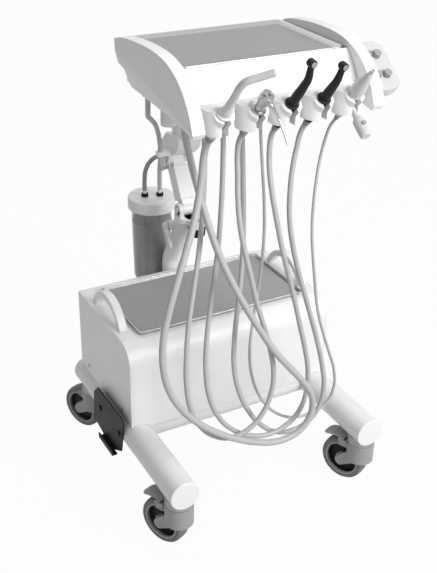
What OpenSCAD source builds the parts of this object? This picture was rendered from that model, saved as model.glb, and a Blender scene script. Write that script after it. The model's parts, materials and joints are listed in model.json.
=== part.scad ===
// Portable dental unit on four castors: a welded tube base, a sheet casing with the
// compressor in it, a mast with a tilting arm, and a delivery head that holds five
// instruments on hoses. Millimetres. +X is the viewer's right, -Y the front, +Z up,
// and the floor is at Z = 0.

/* [Base frame] */
// Distance between the two side tubes, centre to centre
tube_span = 432; // [400:1:470]
// Length of a side tube over its end caps
tube_len = 500; // [460:1:560]
// Outer diameter of a side tube
tube_d = 62; // [50:1:66]
// Wall of the frame tubes
tube_wall = 3; // [2:0.5:5]
// Height of the side tubes' centre line above the floor
tube_z = 142; // [140:1:150]
// Outer diameter of the two cross tubes
cross_d = 44; // [30:1:50]
// Thickness of an end cap's disc
cap_t = 3; // [2:0.5:6]

/* [Castors] */
// Diameter of a wheel
wheel_d = 100; // [90:1:100]
// Width of a wheel's tread
wheel_w = 32; // [24:1:36]
// How far the axle trails behind the swivel stem
castor_trail = 35; // [30:1:40]
// How far all four castors are turned where the unit stands
castor_turn = 24; // [0:1:45]
// Diameter of the castor housing
housing_d = 58; // [54:1:60]
// Thickness of a fork arm
fork_t = 4.5; // [3:0.5:6]

/* [Casing] */
// Width of the casing over its side panels
case_w = 468; // [460:1:500]
// Where the front face stands
case_front_y = -80; // [-100:1:-70]
// Where the back face stands
case_back_y = 194; // [180:1:196]
// Height of the casing's top
case_top_z = 356; // [330:1:380]
// Radius of the shoulder between front and top
case_round = 45; // [20:1:70]
// Thickness of the sheet panels
sheet_t = 3; // [1.5:0.5:4]
// Width of a carrying handle
handle_w = 18; // [12:1:20]
// Height of a carrying handle above the casing
handle_rise = 52; // [40:1:70]
// Distance between a handle's feet, centre to centre
handle_span = 146; // [120:1:170]

/* [Mast] */
// Diameter of the column
column_d = 38; // [30:1:38]
// Where the column stands
column_y = 218; // [217:1:222]
// How far the column leans to the front above its bend
column_lean = 32; // [28:1:34]
// Radius of the column's bend
column_bend_r = 60; // [50:1:70]
// Where the tilting arm's lower hinge lies
knee_y = 135; // [125:1:140]
// Height of the arm's lower hinge
knee_z = 530; // [515:1:545]
// Length of the tilting arm between its hinges
arm_len = 112; // [104:1:130]
// How far the arm leans to the back where the unit stands
arm_lean = 29.5; // [24:0.5:34]
// Diameter of the hinge pins
pin_d = 10; // [6:1:12]

/* [Head] */
// Width of the head over its cheeks
head_w = 380; // [376:1:400]
// Thickness of a cheek
cheek_t = 24; // [18:1:30]
// Height of the head's floor
head_floor_z = 850; // [840:1:860]
// Height of the head tray's rim
head_tray_z = 931; // [925:1:940]
// Depth of a tray
tray_depth = 10; // [8:1:16]
// Sheet thickness of the trays
tray_t = 1.5; // [1:0.5:3]
// Thickness of a tray mat
mat_t = 3; // [2:0.5:5]

/* [Instruments] */
// Distance from holder to holder
holder_pitch = 64.2; // [56:0.1:70]
// How far the instruments lean to the front
holder_tilt = 40; // [36:1:42]
// Width of a holder's body
holder_w = 54; // [50:1:58]
// Outer diameter of the seat ring in a holder
cup_d = 38; // [34:1:42]
// Bore of a holder's cup
cup_bore = 22; // [21:1:24]
// Height of a holder's cup
cup_h = 32; // [26:1:36]
// Length of an instrument below its holder's middle
tail_len = 50; // [46:1:54]
// Diameter of the large suction hose
hose_large_d = 13; // [12:1:16]
// Diameter of the syringe and handpiece hoses
hose_d = 10; // [8:1:10]
// Diameter of the curing light's cable
cable_d = 6; // [5:0.5:7]

/* [Control box] */
// Width of the control box
control_w = 68; // [60:1:70]
// Thickness of the control box
control_t = 20; // [16:1:26]
// Diameter of a control knob
knob_d = 16; // [12:1:17]
// Height of a control knob
knob_h = 10; // [8:1:14]

/* [Suction jar] */
// Diameter of the jar at its top
jar_d = 94; // [86:1:96]
// Height of the jar without its lid
jar_h = 186; // [160:1:200]
// Wall of the jar
jar_wall = 2.5; // [2:0.5:4]

/* [Hidden] */
$fn = 64;
seat = 0.3;         // gap between a part and what it sits on, where faces are curved
run = 0.05;         // radial clearance of a shaft in its hole
base_y = -38;       // middle of the side tubes
tube_r = tube_d / 2;
cross_r = cross_d / 2;
tube_front = base_y - tube_len / 2;
tube_back = base_y + tube_len / 2;
tube_under = tube_z - tube_r;
tube_plug = 16;     // solid end of a tube that the cap's spigot enters
spigot_r = 24;
spigot_h = 8;
cross_z = tube_z - 6;
cross_front_y = case_front_y + 35;
cross_back_y = 165;

wheel_r = wheel_d / 2;
axle_r = 5;
hub_r = 14;
hub_half = wheel_w / 2 + 1.5;
fork_in = wheel_w / 2 + 2.5;
fork_out = fork_in + fork_t;
housing_r = housing_d / 2;
stem_r = 6;
saddle_z = tube_under - 3;
crown_z = saddle_z - 1;
crown_low = wheel_r + 12;
stem_low = crown_z - 12;
wheel_room = 3;     // room between a tread and the fork
saddle_high = tube_z - sqrt(tube_r * tube_r - housing_r * housing_r) - 5;
front_stem_y = tube_front + 27;
back_stem_y = tube_back - 43;
pedal_y = 26;
pedal_z = crown_z - 10;
pedal_pin_r = 2.5;
pedal_len = 54;
pedal_w = 34;
pedal_t = 3.5;
CASTORS = [[-1, front_stem_y], [1, front_stem_y], [-1, back_stem_y], [1, back_stem_y]];

case_x = case_w / 2;
case_low_z = tube_z + 28;
case_skirt_z = tube_z + 20;
pan_z = tube_z + tube_r + seat;
pan_top = pan_z + sheet_t;
flange_h = 26;
screw_r = 2;
screw_head_r = 4;
screw_z = pan_z + 16;
SCREW_Y = [case_front_y + 45, case_back_y - 44];
handle_x = case_x - 19;
handle_y = 64;
handle_t = 14;
handle_r = (handle_span * handle_span / 4 + handle_rise * handle_rise) / (2 * handle_rise);
handle_zc = case_top_z + handle_rise - handle_r;
base_tray_gap = 12;
base_tray_x = handle_x - handle_w / 2 - base_tray_gap;
base_tray_front = -41;
base_tray_back = 168;
mat_gap = 4;
head_mat_gap = 13;

column_r = column_d / 2;
column_x = 0;
elbow_wall = 0.8;   // the bend is a sleeve over the ends of two straight tubes
elbow_lap = 4;
foot_low = cross_z - 18;
lean_run = (column_y - knee_y - column_bend_r * (1 - cos(column_lean))) / sin(column_lean);
bend_z = knee_z - 22 - column_bend_r * sin(column_lean) - lean_run * cos(column_lean);
knee_disc_r = 28;
knee_disc_low = knee_z - 28;
knee_disc_top = knee_z - 15;
ear_in = 14;
ear_out = 24;
pin_r = pin_d / 2;
arm_half = ear_in - 0.4;
arm_end_r = 13;
arm_cover = 34;     // width of the arm's cover between its ends
elbow_y = knee_y + arm_len * sin(arm_lean);
elbow_z = knee_z + arm_len * cos(arm_lean);
neck_y = elbow_y - 26;
neck_z = elbow_z + 68;
neck_r = 17;
stud_r = 8;
stud_h = 22;
nose_y = knee_y - 45;
tension_r = 19;
tension_h = 17;
lever_y = knee_y + 38;
lever_z = knee_z - 52;
lever_x = -30;

head_x = head_w / 2;
cheek_in = head_x - cheek_t;
head_back = 56;
panel_t = 3;
panel_r = 160;
panel_top_y = -165;
panel_cy = -56.7;
panel_cz = head_floor_z - 38.8;
panel_high = head_tray_z - 2;
head_tray_x = cheek_in - 2;
head_tray_front = panel_top_y + 4 + seat;
head_tray_back = head_back + 6;
port_pitch = 38;
port_x0 = -140;
port_y = -130;
port_r = 10;
port_low = head_floor_z - 15;
gland_x = -150;
gland_y = 0;

holder_y = -238;
holder_z = head_floor_z + 12;
cup_r = cup_d / 2;
bore_r = cup_bore / 2;
cup_low = -cup_h / 2 - 2;
cup_high = cup_h / 2 - 2;
slot_w = hose_d + 2;
holder_r = holder_w / 2;
holder_body_y = holder_y + 12;
holder_low = holder_z - 26;
holder_high = holder_z + 16;
pocket_r = 15.5;     // room round the flange that an instrument hangs by
pocket_rim = 20;     // rim of that room, along the instrument
flange_low = cup_high + seat;
flange_high = flange_low + 3;

control_x = head_x + 8 + control_w / 2;
control_y = -166;
control_z = 890;
control_tilt = 36.5;
control_r = 56;
KNOBS = [[-11, 21], [10, 21], [-11, -24], [10, -24]];

jar_x = -14;
jar_y = column_y + 68;
jar_z = 305;
jar_r = jar_d / 2;
jar_low_r = jar_r - 4;
jar_top = jar_z + jar_h;
lid_r = jar_r + 7;
lid_t = 13;
barb_r = 5;
barb_h = 14;
barb_z = jar_top + seat + lid_t;
BARBS = [[-30, jar_y + 1], [2, jar_y - 10]];
bottle_x = -78;
bottle_y = 62;
bottle_r = 16;
bottle_h = 100;
clip_y = elbow_y - 28.15;
clip_z = elbow_z + 19.52;
clip_x = -50;
clip_h = 10;
port_fit_x = 45;
port_fit_z = 310;
port_fit_y = case_back_y + 14;

hanger_face = -max(tube_span / 2 + tube_r, case_x + 2) - seat;
hanger_bolt_r = 3;
HANGER_BOLTS = [-48, 52];

// ---- small helpers -------------------------------------------------------------------
module block(low, high) translate(low) cube(high - low);
module along_x(x0, x1) translate([x0, 0, 0]) rotate([90, 0, 90]) linear_extrude(x1 - x0) children();
module rod_x(y, z, r, x0, x1) translate([x0, y, z]) rotate([0, 90, 0]) cylinder(r = r, h = x1 - x0);
module rod_y(x, z, r, y0, y1) translate([x, y0, z]) rotate([-90, 0, 0]) cylinder(r = r, h = y1 - y0);
module rod(p, q, r1, r2) {
    d = q - p;
    translate(p) rotate([0, acos(d.z / norm(d)), atan2(d.y, d.x)]) cylinder(r1 = r1, r2 = r2, h = norm(d));
}
module pair() {
    children();
    mirror([1, 0, 0]) children();
}
module at_castor(i) {
    translate([CASTORS[i][0] * tube_span / 2, CASTORS[i][1], 0]) rotate([0, 0, castor_turn]) children();
}
module at_holder(i) {
    translate([(i - 2) * holder_pitch, holder_y, holder_z]) rotate([holder_tilt, 0, 0]) children();
}
module at_control() translate([control_x, control_y, control_z]) rotate([control_tilt, 0, 0]) children();

// Curve through the points p, with n steps from each point to the next
function curve_at(a, b, c, d, t) =
    0.5 * (2 * b + (c - a) * t + (2 * a - 5 * b + 4 * c - d) * t * t + (3 * b - a - 3 * c + d) * t * t * t);
function curve(p, n) = [
    for (i = [0 : len(p) - 2]) for (k = [0 : n - 1])
        curve_at(p[max(i - 1, 0)], p[i], p[i + 1], p[min(i + 2, len(p) - 1)], k / n),
    p[len(p) - 1]
];

// A hose as one swept tube: a ring of points square to the route at each of its points
function unit(v) = v / norm(v);
function heading(p, i) = unit(
    i == 0 ? p[1] - p[0]
    : i == len(p) - 1 ? p[i] - p[i - 1]
    : unit(p[i + 1] - p[i]) + unit(p[i] - p[i - 1]));
function next_side(side, d) = unit(side - (side * d) * d);
function sides(p, i) = i == 0 ? next_side([1, 0.2, 0], heading(p, 0)) : next_side(sides(p, i - 1), heading(p, i));
module hose(p, d, n) {
    ring_points = [
        for (i = [0 : len(p) - 1])
            let (h = heading(p, i), u = sides(p, i), v = cross(h, u))
            for (k = [0 : n - 1]) p[i] + d / 2 * (cos(360 * k / n) * u + sin(360 * k / n) * v)
    ];
    last = (len(p) - 1) * n;
    faces = concat(
        [[for (k = [0 : n - 1]) k]],
        [[for (k = [n - 1 : -1 : 0]) last + k]],
        [for (i = [0 : len(p) - 2]) for (k = [0 : n - 1])
            [i * n + k, (i + 1) * n + k, (i + 1) * n + (k + 1) % n, i * n + (k + 1) % n]]);
    polyhedron(ring_points, faces);
}

// ---- hose routes, from the instrument's tail to the port under the head ---------------
tail_y = holder_y + tail_len * sin(holder_tilt);
tail_z = holder_z - tail_len * cos(holder_tilt);
function tail(i, more) = [
    (i - 2) * holder_pitch, tail_y + more * sin(holder_tilt), tail_z - more * cos(holder_tilt)];
function port(i) = [port_x0 + i * port_pitch, port_y, port_low];
function loop(i, middle) = concat([tail(i, run), tail(i, 14)], middle, [port(i) - [0, 0, 25], port(i)]);

SUCTION_ROUTE = [
    [-129, -186, 795], [-131, -182, 770], [-136, -186, 740], [-147, -196, 705], [-163, -209, 668],
    [-184, -223, 628], [-208, -237, 580], [-230, -248, 530], [-245, -257, 482], [-250, -266, 435],
    [-243, -274, 388], [-222, -281, 345], [-190, -286, 306], [-150, -290, 272], [-105, -293, 243],
    [-60, -295, 222], [-30, -296, 213], [0, -296, 211], [30, -296, 220], [51, -295, 242], [59, -293, 272],
    [52, -291, 302], [31, -289, 335], [3, -285, 371], [-25, -280, 408], [-51, -270, 452], [-75, -254, 500],
    [-95, -234, 548], [-112, -212, 600], [-124, -190, 655], [-132, -168, 710], [-138, -146, 765]];
SYRINGE_ROUTE = [
    [-65, -188, 797], [-66, -186, 775], [-69, -194, 742], [-75, -208, 702], [-78, -224, 655],
    [-73, -237, 605], [-64, -247, 555], [-54, -254, 505], [-40, -260, 455], [-27, -264, 405], [-19, -267, 355],
    [-24, -270, 310], [-42, -273, 272], [-72, -274, 245], [-108, -273, 236], [-143, -270, 248],
    [-172, -265, 276], [-190, -257, 318], [-194, -247, 366], [-188, -234, 418], [-175, -217, 474],
    [-156, -198, 532], [-136, -179, 594], [-120, -161, 660], [-108, -144, 730]];
LEFT_ROUTE = [
    [0, -188, 797], [-1, -186, 772], [-4, -194, 738], [-5, -208, 698], [0, -222, 645], [9, -232, 590],
    [21, -239, 540], [34, -245, 485], [47, -249, 430], [60, -253, 375], [68, -256, 325], [66, -259, 278],
    [48, -262, 237], [16, -264, 214], [-22, -264, 207], [-60, -261, 215], [-96, -256, 237], [-125, -248, 272],
    [-141, -238, 318], [-143, -226, 370], [-135, -212, 425], [-121, -198, 482], [-104, -182, 542],
    [-88, -166, 605], [-76, -151, 670], [-67, -137, 740]];
RIGHT_ROUTE = [
    [62, -188, 797], [57, -186, 770], [48, -190, 735], [39, -199, 690], [35, -209, 640], [40, -219, 585],
    [52, -227, 530], [66, -233, 480], [82, -238, 425], [98, -241, 370], [111, -244, 315], [117, -246, 265],
    [108, -248, 222], [82, -249, 194], [46, -249, 184], [8, -248, 192], [-26, -245, 218], [-53, -240, 256],
    [-72, -233, 302], [-80, -223, 355], [-74, -210, 412], [-61, -196, 470], [-47, -181, 530],
    [-36, -165, 595], [-29, -149, 665], [-25, -135, 740]];
LIGHT_ROUTE = [
    [124, -189, 798], [117, -187, 775], [106, -191, 742], [95, -199, 702], [87, -207, 655], [84, -213, 605],
    [88, -217, 552], [94, -221, 498], [101, -225, 445], [114, -230, 392], [131, -234, 340], [146, -237, 292],
    [148, -238, 248], [132, -238, 216], [100, -237, 203], [62, -236, 203], [26, -234, 218], [-4, -230, 246],
    [-26, -225, 284], [-38, -218, 328], [-39, -210, 374], [-30, -200, 422], [-16, -189, 474], [-1, -176, 530],
    [11, -162, 590], [17, -147, 655], [16, -136, 725]];
VACUUM_ROUTE = [
    [-30, 287, 545], [-27, 287, 566], [-18, 286, 583], [-4, 284, 594], [14, 281, 598], [32, 277, 596],
    [46, 272, 586], [56, 267, 569], [61, 261, 545], [63, 257, 500], [63, 254, 450], [60, 251, 405],
    [55, 249, 372], [49, 245, 346], [46, 236, 324]];
JAR_ROUTE_LOW = [[2, 276, 558], [0, 270, 583], [-6, 252, 601], [-16, 226, 608]];
JAR_ROUTE_HIGH = [[-30, 196, 606], [-40, 179, 610], [-47, 167, 622]];
JAR_ROUTE_HEAD = [
    [-53, 159, 686], [-62, 146, 706], [-77, 124, 729], [-98, 92, 751], [-120, 57, 771], [-139, 24, 789],
    [-148, 5, 806]];

// ---- base ----------------------------------------------------------------------------
module frame_tubes() color("white") {
    difference() {
        pair() difference() {
            rod_y(tube_span / 2, tube_z, tube_r, tube_front + cap_t, tube_back - cap_t);
            rod_y(tube_span / 2, tube_z, tube_r - tube_wall, tube_front + tube_plug + spigot_h,
                tube_back - tube_plug - spigot_h);
            rod_y(tube_span / 2, tube_z, spigot_r, tube_front, tube_front + cap_t + spigot_h);
            rod_y(tube_span / 2, tube_z, spigot_r, tube_back - cap_t - spigot_h, tube_back);
        }
        for (y = HANGER_BOLTS)
            rod_x(y, tube_z, hanger_bolt_r + run, -tube_span / 2 - tube_r - 1, -tube_span / 2);
    }
    for (y = [cross_front_y, cross_back_y]) difference() {
        rod_x(y, cross_z, cross_r, -tube_span / 2, tube_span / 2);
        pair() rod_y(tube_span / 2, tube_z, tube_r + run, tube_front, tube_back);
        rod_x(y, cross_z, cross_r - tube_wall, -tube_span / 2 + tube_d, tube_span / 2 - tube_d);
    }
}

module tube_end_caps() color("whitesmoke") {
    pair() for (end = [[tube_front, 1], [tube_back, -1]])
        translate([tube_span / 2, end[0], tube_z]) rotate([-90 * end[1], 0, 0]) {
            cylinder(r1 = tube_r - 1.5, r2 = tube_r, h = 1.5);
            translate([0, 0, 1.5]) cylinder(r = tube_r, h = cap_t - 1.5);
            translate([0, 0, cap_t]) cylinder(r = spigot_r - run, h = spigot_h - 1);
        }
}

module castor_mounts() color("darkgray") {
    for (c = CASTORS) difference() {
        translate([c[0] * tube_span / 2, c[1], 0]) {
            translate([0, 0, saddle_z]) cylinder(r = housing_r, h = saddle_high - saddle_z);
            translate([0, 0, stem_low]) cylinder(r = stem_r, h = saddle_z - stem_low + 1);
        }
        rod_y(c[0] * tube_span / 2, tube_z, tube_r + run, tube_front - housing_r, tube_back);
        rod_x(cross_back_y, cross_z, cross_r + run, -tube_span / 2, tube_span / 2);
    }
}

module castor_fork(i) color("gray") at_castor(i) {
    difference() {
        union() {
            translate([0, 0, crown_low]) cylinder(r = housing_r, h = crown_z - crown_low);
            along_x(-fork_out, fork_out) {
                translate([castor_trail, wheel_r]) circle(11);
                polygon([[-5, crown_low], [8, crown_low + 28], [castor_trail + 7, wheel_r + 8.5],
                    [castor_trail - 5, wheel_r - 9.5]]);
            }
            along_x(-fork_out, fork_out) {
                translate([pedal_y, pedal_z]) circle(6);
                polygon([[4, crown_z - 20], [4, crown_z], [pedal_y + 2, crown_z - 4.4], [pedal_y, pedal_z - 6]]);
            }
            rod_x(pedal_y, pedal_z, pedal_pin_r, -fork_out - 3.5, fork_out + 3.5);
        }
        rod_x(castor_trail, wheel_r, wheel_r + wheel_room, -fork_in, fork_in);
        translate([0, 0, stem_low - 1]) cylinder(r = stem_r + run, h = crown_z - stem_low + 2);
    }
    rod_x(castor_trail, wheel_r, axle_r, -fork_out, fork_out);
}

module castor_wheel(i) color("dimgray") at_castor(i) {
    rim = wheel_w / 2;
    translate([0, castor_trail, wheel_r]) rotate([0, 90, 0]) rotate_extrude()
        polygon([[axle_r + run, -hub_half], [hub_r, -hub_half], [hub_r, -6], [wheel_r - 13, -6],
            [wheel_r - 13, 3 - rim], [wheel_r - 10, -rim], [wheel_r - 4, -rim], [wheel_r, 4 - rim],
            [wheel_r, rim - 4], [wheel_r - 4, rim], [wheel_r - 10, rim], [wheel_r - 13, rim - 3],
            [wheel_r - 13, 6], [hub_r, 6], [hub_r, hub_half], [axle_r + run, hub_half]]);
}

module brake_pedal(i) color("dimgray") at_castor(i) {
    ear = fork_out + 0.5;
    low = crown_z - 0.5 - pedal_t;
    bow = [for (t = [0 : 0.125 : 1]) [pedal_y + 5 + t * pedal_len, low - 10 * t * t * t]];
    top = [for (t = [1 : -0.125 : 0]) [pedal_y + 5 + t * pedal_len, low - 10 * t * t * t + pedal_t]];
    difference() {
        union() {
            along_x(-pedal_w / 2, pedal_w / 2) polygon(concat(bow, top));
            block([-ear - 3, pedal_y + 5, low], [ear + 3, pedal_y + 16, low + pedal_t]);
            pair() along_x(ear, ear + 3) {
                translate([pedal_y, pedal_z]) circle(5);
                polygon([[pedal_y - 5, pedal_z], [pedal_y - 4, low + pedal_t], [pedal_y + 14, low + pedal_t],
                    [pedal_y + 12, low], [pedal_y + 4, pedal_z - 3]]);
            }
        }
        rod_x(pedal_y, pedal_z, pedal_pin_r + run, -ear - 4, ear + 4);
    }
}

// ---- casing --------------------------------------------------------------------------
module case_side(y0, y1, z0, z1, r) {
    difference() {
        translate([y0, z0]) square([y1 - y0, z1 - z0]);
        translate([y0 - 1, z1 - r]) square([r + 1, r + 1]);
    }
    translate([y0 + r, z1 - r]) circle(r);
}

module base_chassis() color("silver") {
    inside = case_x - sheet_t - seat;
    difference() {
        union() {
            block([-inside, case_front_y + sheet_t + seat, pan_z], [inside, case_back_y, pan_top]);
            block([-inside, case_back_y - sheet_t, pan_z], [inside, case_back_y, case_top_z - sheet_t - seat]);
            pair() block([inside - sheet_t, case_front_y + sheet_t + seat, pan_z],
                [inside, case_back_y, pan_z + flange_h]);
            rod_y(port_fit_x, port_fit_z, 9, case_back_y - 1, port_fit_y);
        }
        for (y = SCREW_Y) rod_x(y, screw_z, screw_r + run, -case_x, case_x);
        rod_y(port_fit_x, port_fit_z, hose_d / 2 - 2, case_back_y - sheet_t - 1, port_fit_y + 1);
    }
}

module casing_cover() color("white") difference() {
    inside = case_x - sheet_t - run;
    along_x(-inside, inside) difference() {
        case_side(case_front_y, case_back_y, case_skirt_z, case_top_z, case_round);
        case_side(case_front_y + sheet_t, case_back_y + 1, case_skirt_z - 1, case_top_z - sheet_t,
            case_round - sheet_t);
    }
    pair() rod_y(tube_span / 2, tube_z, tube_r + 0.5, case_front_y - 1, case_back_y);
}

module casing_panel() color("white") difference() {
    along_x(case_x - sheet_t, case_x)
        case_side(case_front_y, case_back_y, case_low_z, case_top_z, case_round);
    for (y = SCREW_Y) rod_x(y, screw_z, screw_r + run, case_x - sheet_t - 1, case_x + 1);
}
module casing_right_panel() casing_panel();
module casing_left_panel() mirror([1, 0, 0]) casing_panel();

module panel_screws() color("gray") pair() for (y = SCREW_Y) {
    rod_x(y, screw_z, screw_r, case_x - 12, case_x + 0.5);
    rod_x(y, screw_z, screw_head_r, case_x, case_x + 2);
}

module base_handles() color("white") pair()
    along_x(handle_x - handle_w / 2, handle_x + handle_w / 2) difference() {
        translate([handle_y, handle_zc]) circle(handle_r);
        translate([handle_y, handle_zc]) circle(handle_r - handle_t);
        translate([handle_y - 2 * handle_r, case_top_z - 2 * handle_r]) square([4 * handle_r, 2 * handle_r]);
    }

module tray_pan(x, y0, y1, z) difference() {
    block([-x, y0, z], [x, y1, z + tray_depth]);
    block([-x + 2, y0 + 2, z + tray_t], [x - 2, y1 - 2, z + tray_depth + 1]);
}
module tray_mat(x, y0, y1, z, gap)
    block([-x + gap, y0 + gap, z + tray_t], [x - gap, y1 - gap, z + tray_t + mat_t]);

module base_tray() color("silver") tray_pan(base_tray_x, base_tray_front, base_tray_back, case_top_z);
module base_tray_mat() color("gray") tray_mat(base_tray_x, base_tray_front, base_tray_back, case_top_z, mat_gap);

module compressor() color("slategray") {
    x = 99 - case_x;
    y = 40;
    for (dx = [-70, 70]) for (dy = [-50, 50])
        translate([x + dx, y + dy, pan_top]) cylinder(r = 9, h = 12);
    block([x - 85, y - 62, pan_top + 12], [x + 85, y + 62, pan_top + 16]);
    rod_x(y, pan_top + 62, 40, x - 40, x + 40);
    block([x - 40, y - 26, pan_top + 16], [x + 40, y + 26, pan_top + 40]);
    for (side = [-1, 1]) {
        rod_x(y, pan_top + 62, 30, x + side * 58 - 18, x + side * 58 + 18);
        translate([x + side * 58, y, pan_top + 62]) cylinder(r = 22, h = 62);
        block([x + side * 58 - 26, y - 26, pan_top + 112], [x + side * 58 + 26, y + 26, pan_top + 128]);
    }
}

module air_tank() color("lightgray") {
    r = 50;
    x = case_x - 119;
    z = pan_top + r + 8;
    rod_x(40, z, r, x - 85, x + 85);
    for (side = [-1, 1]) {
        translate([x + side * 85, 40, z]) sphere(22);
        block([x + side * 60 - 8, 10, pan_top], [x + side * 60 + 8, 70, z - r + 10]);
    }
    translate([x, 40, z + r - 2]) cylinder(r = 8, h = 20);
}

module pedal_hanger() color("#202020") {
    along_x(hanger_face - sheet_t, hanger_face)
        polygon([[64, tube_z + 46], [-70, tube_z + 48], [-74, tube_z + 38], [-58, tube_z - 40],
            [-34, tube_z - 54], [16, tube_z - 82], [58, tube_z - 84], [40, tube_z - 60], [92, tube_z - 50],
            [86, tube_z + 22]]);
    block([hanger_face - 14, -34, tube_z - 66], [hanger_face - sheet_t + 1, 40, tube_z - 62]);
    block([hanger_face - 14, -34, tube_z - 66], [hanger_face - 11, 40, tube_z - 54]);
    for (y = HANGER_BOLTS) {
        rod_x(y, tube_z, hanger_bolt_r, hanger_face - sheet_t, -tube_span / 2 - tube_r + 8);
        rod_x(y, tube_z, 2 * hanger_bolt_r, hanger_face - sheet_t - 3, hanger_face - sheet_t);
    }
}

// ---- mast ----------------------------------------------------------------------------
module mast_column() color("white") {
    top_y = column_y - column_bend_r * (1 - cos(column_lean));
    top_z = bend_z + column_bend_r * sin(column_lean);
    difference() {
        union() {
            translate([column_x, column_y, foot_low]) cylinder(r = column_r, h = bend_z - foot_low + elbow_lap);
            translate([column_x, column_y - column_bend_r, bend_z]) rotate([90, 0, 90])
                rotate_extrude(angle = column_lean) translate([column_bend_r, 0]) circle(column_r + elbow_wall);
            translate([column_x, top_y, top_z]) rotate([column_lean, 0, 0]) translate([0, 0, -elbow_lap])
                cylinder(r = column_r, h = lean_run + elbow_lap + 6);
            translate([column_x, knee_y, knee_disc_low]) cylinder(r = knee_disc_r, h = knee_disc_top - knee_disc_low);
            block([-12, nose_y, knee_disc_low], [12, knee_y, knee_disc_top]);
            translate([column_x, nose_y, knee_disc_low]) cylinder(r = 14, h = knee_disc_top - knee_disc_low);
            block([-25, cross_back_y + cross_r + seat, foot_low], [25, column_y, foot_low + 34]);
            rod([column_x - 10, lever_y, lever_z], [lever_x + 1, lever_y, lever_z], 11, 11);
        }
        block([-column_r - 1, knee_y - 60, knee_disc_top], [column_r + 1, knee_y + 60, knee_z + 30]);
        translate([column_x, nose_y, knee_disc_low - 1]) cylinder(r = 4 + run, h = 10);
        rod_x(lever_y, lever_z, 4 + run, lever_x - 1, lever_x + 12);
    }
    pair() along_x(ear_in, ear_out) {
        translate([knee_y, knee_z]) circle(14);
        translate([knee_y - 14, knee_disc_top - 1]) square([28, knee_z - knee_disc_top + 1]);
    }
    rod_x(knee_y, knee_z, pin_r, -ear_out, ear_out);
}

module clamp_lever() color("lightgray") {
    rod_x(lever_y, lever_z, 4, lever_x - 3, lever_x + 11);
    translate([0, lever_y, lever_z]) rotate([-30, 0, 0]) along_x(lever_x - 8, lever_x - seat) {
        circle(9);
        translate([-7, -44]) square([14, 44]);
        translate([0, -44]) circle(7);
    }
}

module tension_knob() color("#202020") translate([column_x, nose_y, knee_disc_low]) {
    translate([0, 0, -3]) cylinder(r = 4, h = 11);
    translate([0, 0, -1 - tension_h]) cylinder(r1 = tension_r - 3, r2 = tension_r, h = 4);
    translate([0, 0, 3 - tension_h]) cylinder(r = tension_r, h = tension_h - 4 - seat);
}

module spring_arm() color("white") difference() {
    union() {
        along_x(-arm_half, arm_half) {
            translate([knee_y, knee_z]) circle(arm_end_r);
            translate([elbow_y, elbow_z]) circle(arm_end_r);
            translate([knee_y, knee_z]) rotate(-arm_lean) translate([2 - arm_end_r, 0])
                square([2 * arm_end_r - 4, arm_len]);
        }
        along_x(-arm_cover / 2, arm_cover / 2)
            translate([knee_y, knee_z]) rotate(-arm_lean) translate([-16, 20]) square([33, arm_len - 40]);
    }
    rod_x(knee_y, knee_z, pin_r + run, -ear_out, ear_out);
    rod_x(elbow_y, elbow_z, pin_r + run, -ear_out, ear_out);
}

module upper_bracket() color("white") {
    difference() {
        union() {
            pair() along_x(ear_in, ear_out) {
                translate([elbow_y, elbow_z]) circle(14);
                polygon([[elbow_y - 14, elbow_z], [elbow_y - 22, elbow_z + 24], [elbow_y + 16, elbow_z + 24],
                    [elbow_y + 14, elbow_z]]);
            }
            along_x(-26, 26) polygon([
                [elbow_y - 40, elbow_z + 20], [elbow_y + 18, elbow_z + 18], [elbow_y + 20, elbow_z + 32],
                [elbow_y - 8, neck_z - 6], [elbow_y - 66, neck_z - 6], [elbow_y - 64, elbow_z + 42]]);
            translate([0, neck_y, neck_z - 8]) cylinder(r = neck_r, h = 8);
            block([clip_x - 7, clip_y - 7, clip_z], [-25, clip_y + 7, clip_z + clip_h]);
        }
        rod_x(elbow_y, elbow_z, pin_r + 4, -ear_in, ear_in);
    }
    translate([0, neck_y, neck_z - 1]) cylinder(r = stud_r, h = stud_h + 1);
    rod_x(elbow_y, elbow_z, pin_r, -ear_out, ear_out);
}

// ---- head ----------------------------------------------------------------------------
module head_support() color("whitesmoke") {
    z0 = neck_z + seat;
    difference() {
        union() {
            translate([0, neck_y, z0]) cylinder(r = 20, h = stud_h + 8);
            along_x(-16, 16) polygon([
                [neck_y - 18, z0], [neck_y + 12, z0], [neck_y + 12, z0 + stud_h + 8],
                [20, head_floor_z - 8], [-60, head_floor_z - 8], [-60, head_floor_z - 16], [10, head_floor_z - 40]]);
        }
        translate([0, neck_y, z0 - 1]) cylinder(r = stud_r + run, h = stud_h + 1);
    }
    block([-50, -60, head_floor_z - 8], [50, 20, head_floor_z - seat]);
}

module head_pan() color("gainsboro") difference() {
    union() {
        block([-cheek_in + seat, panel_cy - panel_r + panel_t + 6, head_floor_z],
            [cheek_in - seat, head_back, head_floor_z + panel_t]);
        block([-cheek_in + seat, head_back - panel_t, head_floor_z],
            [cheek_in - seat, head_back, head_tray_z - tray_depth - seat]);
        for (i = [0 : 4]) translate([port(i).x, port_y, port_low]) cylinder(r = port_r, h = head_floor_z - port_low);
        translate([gland_x, gland_y, port_low]) cylinder(r = port_r, h = head_floor_z - port_low);
    }
}

module head_front_panel() color("white") along_x(-cheek_in + seat, cheek_in - seat) intersection() {
    difference() {
        translate([panel_cy, panel_cz]) circle(panel_r, $fn = 128);
        translate([panel_cy, panel_cz]) circle(panel_r - panel_t, $fn = 128);
    }
    translate([-260, head_floor_z]) square([260 + panel_top_y + 4, panel_high - head_floor_z]);
}

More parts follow.
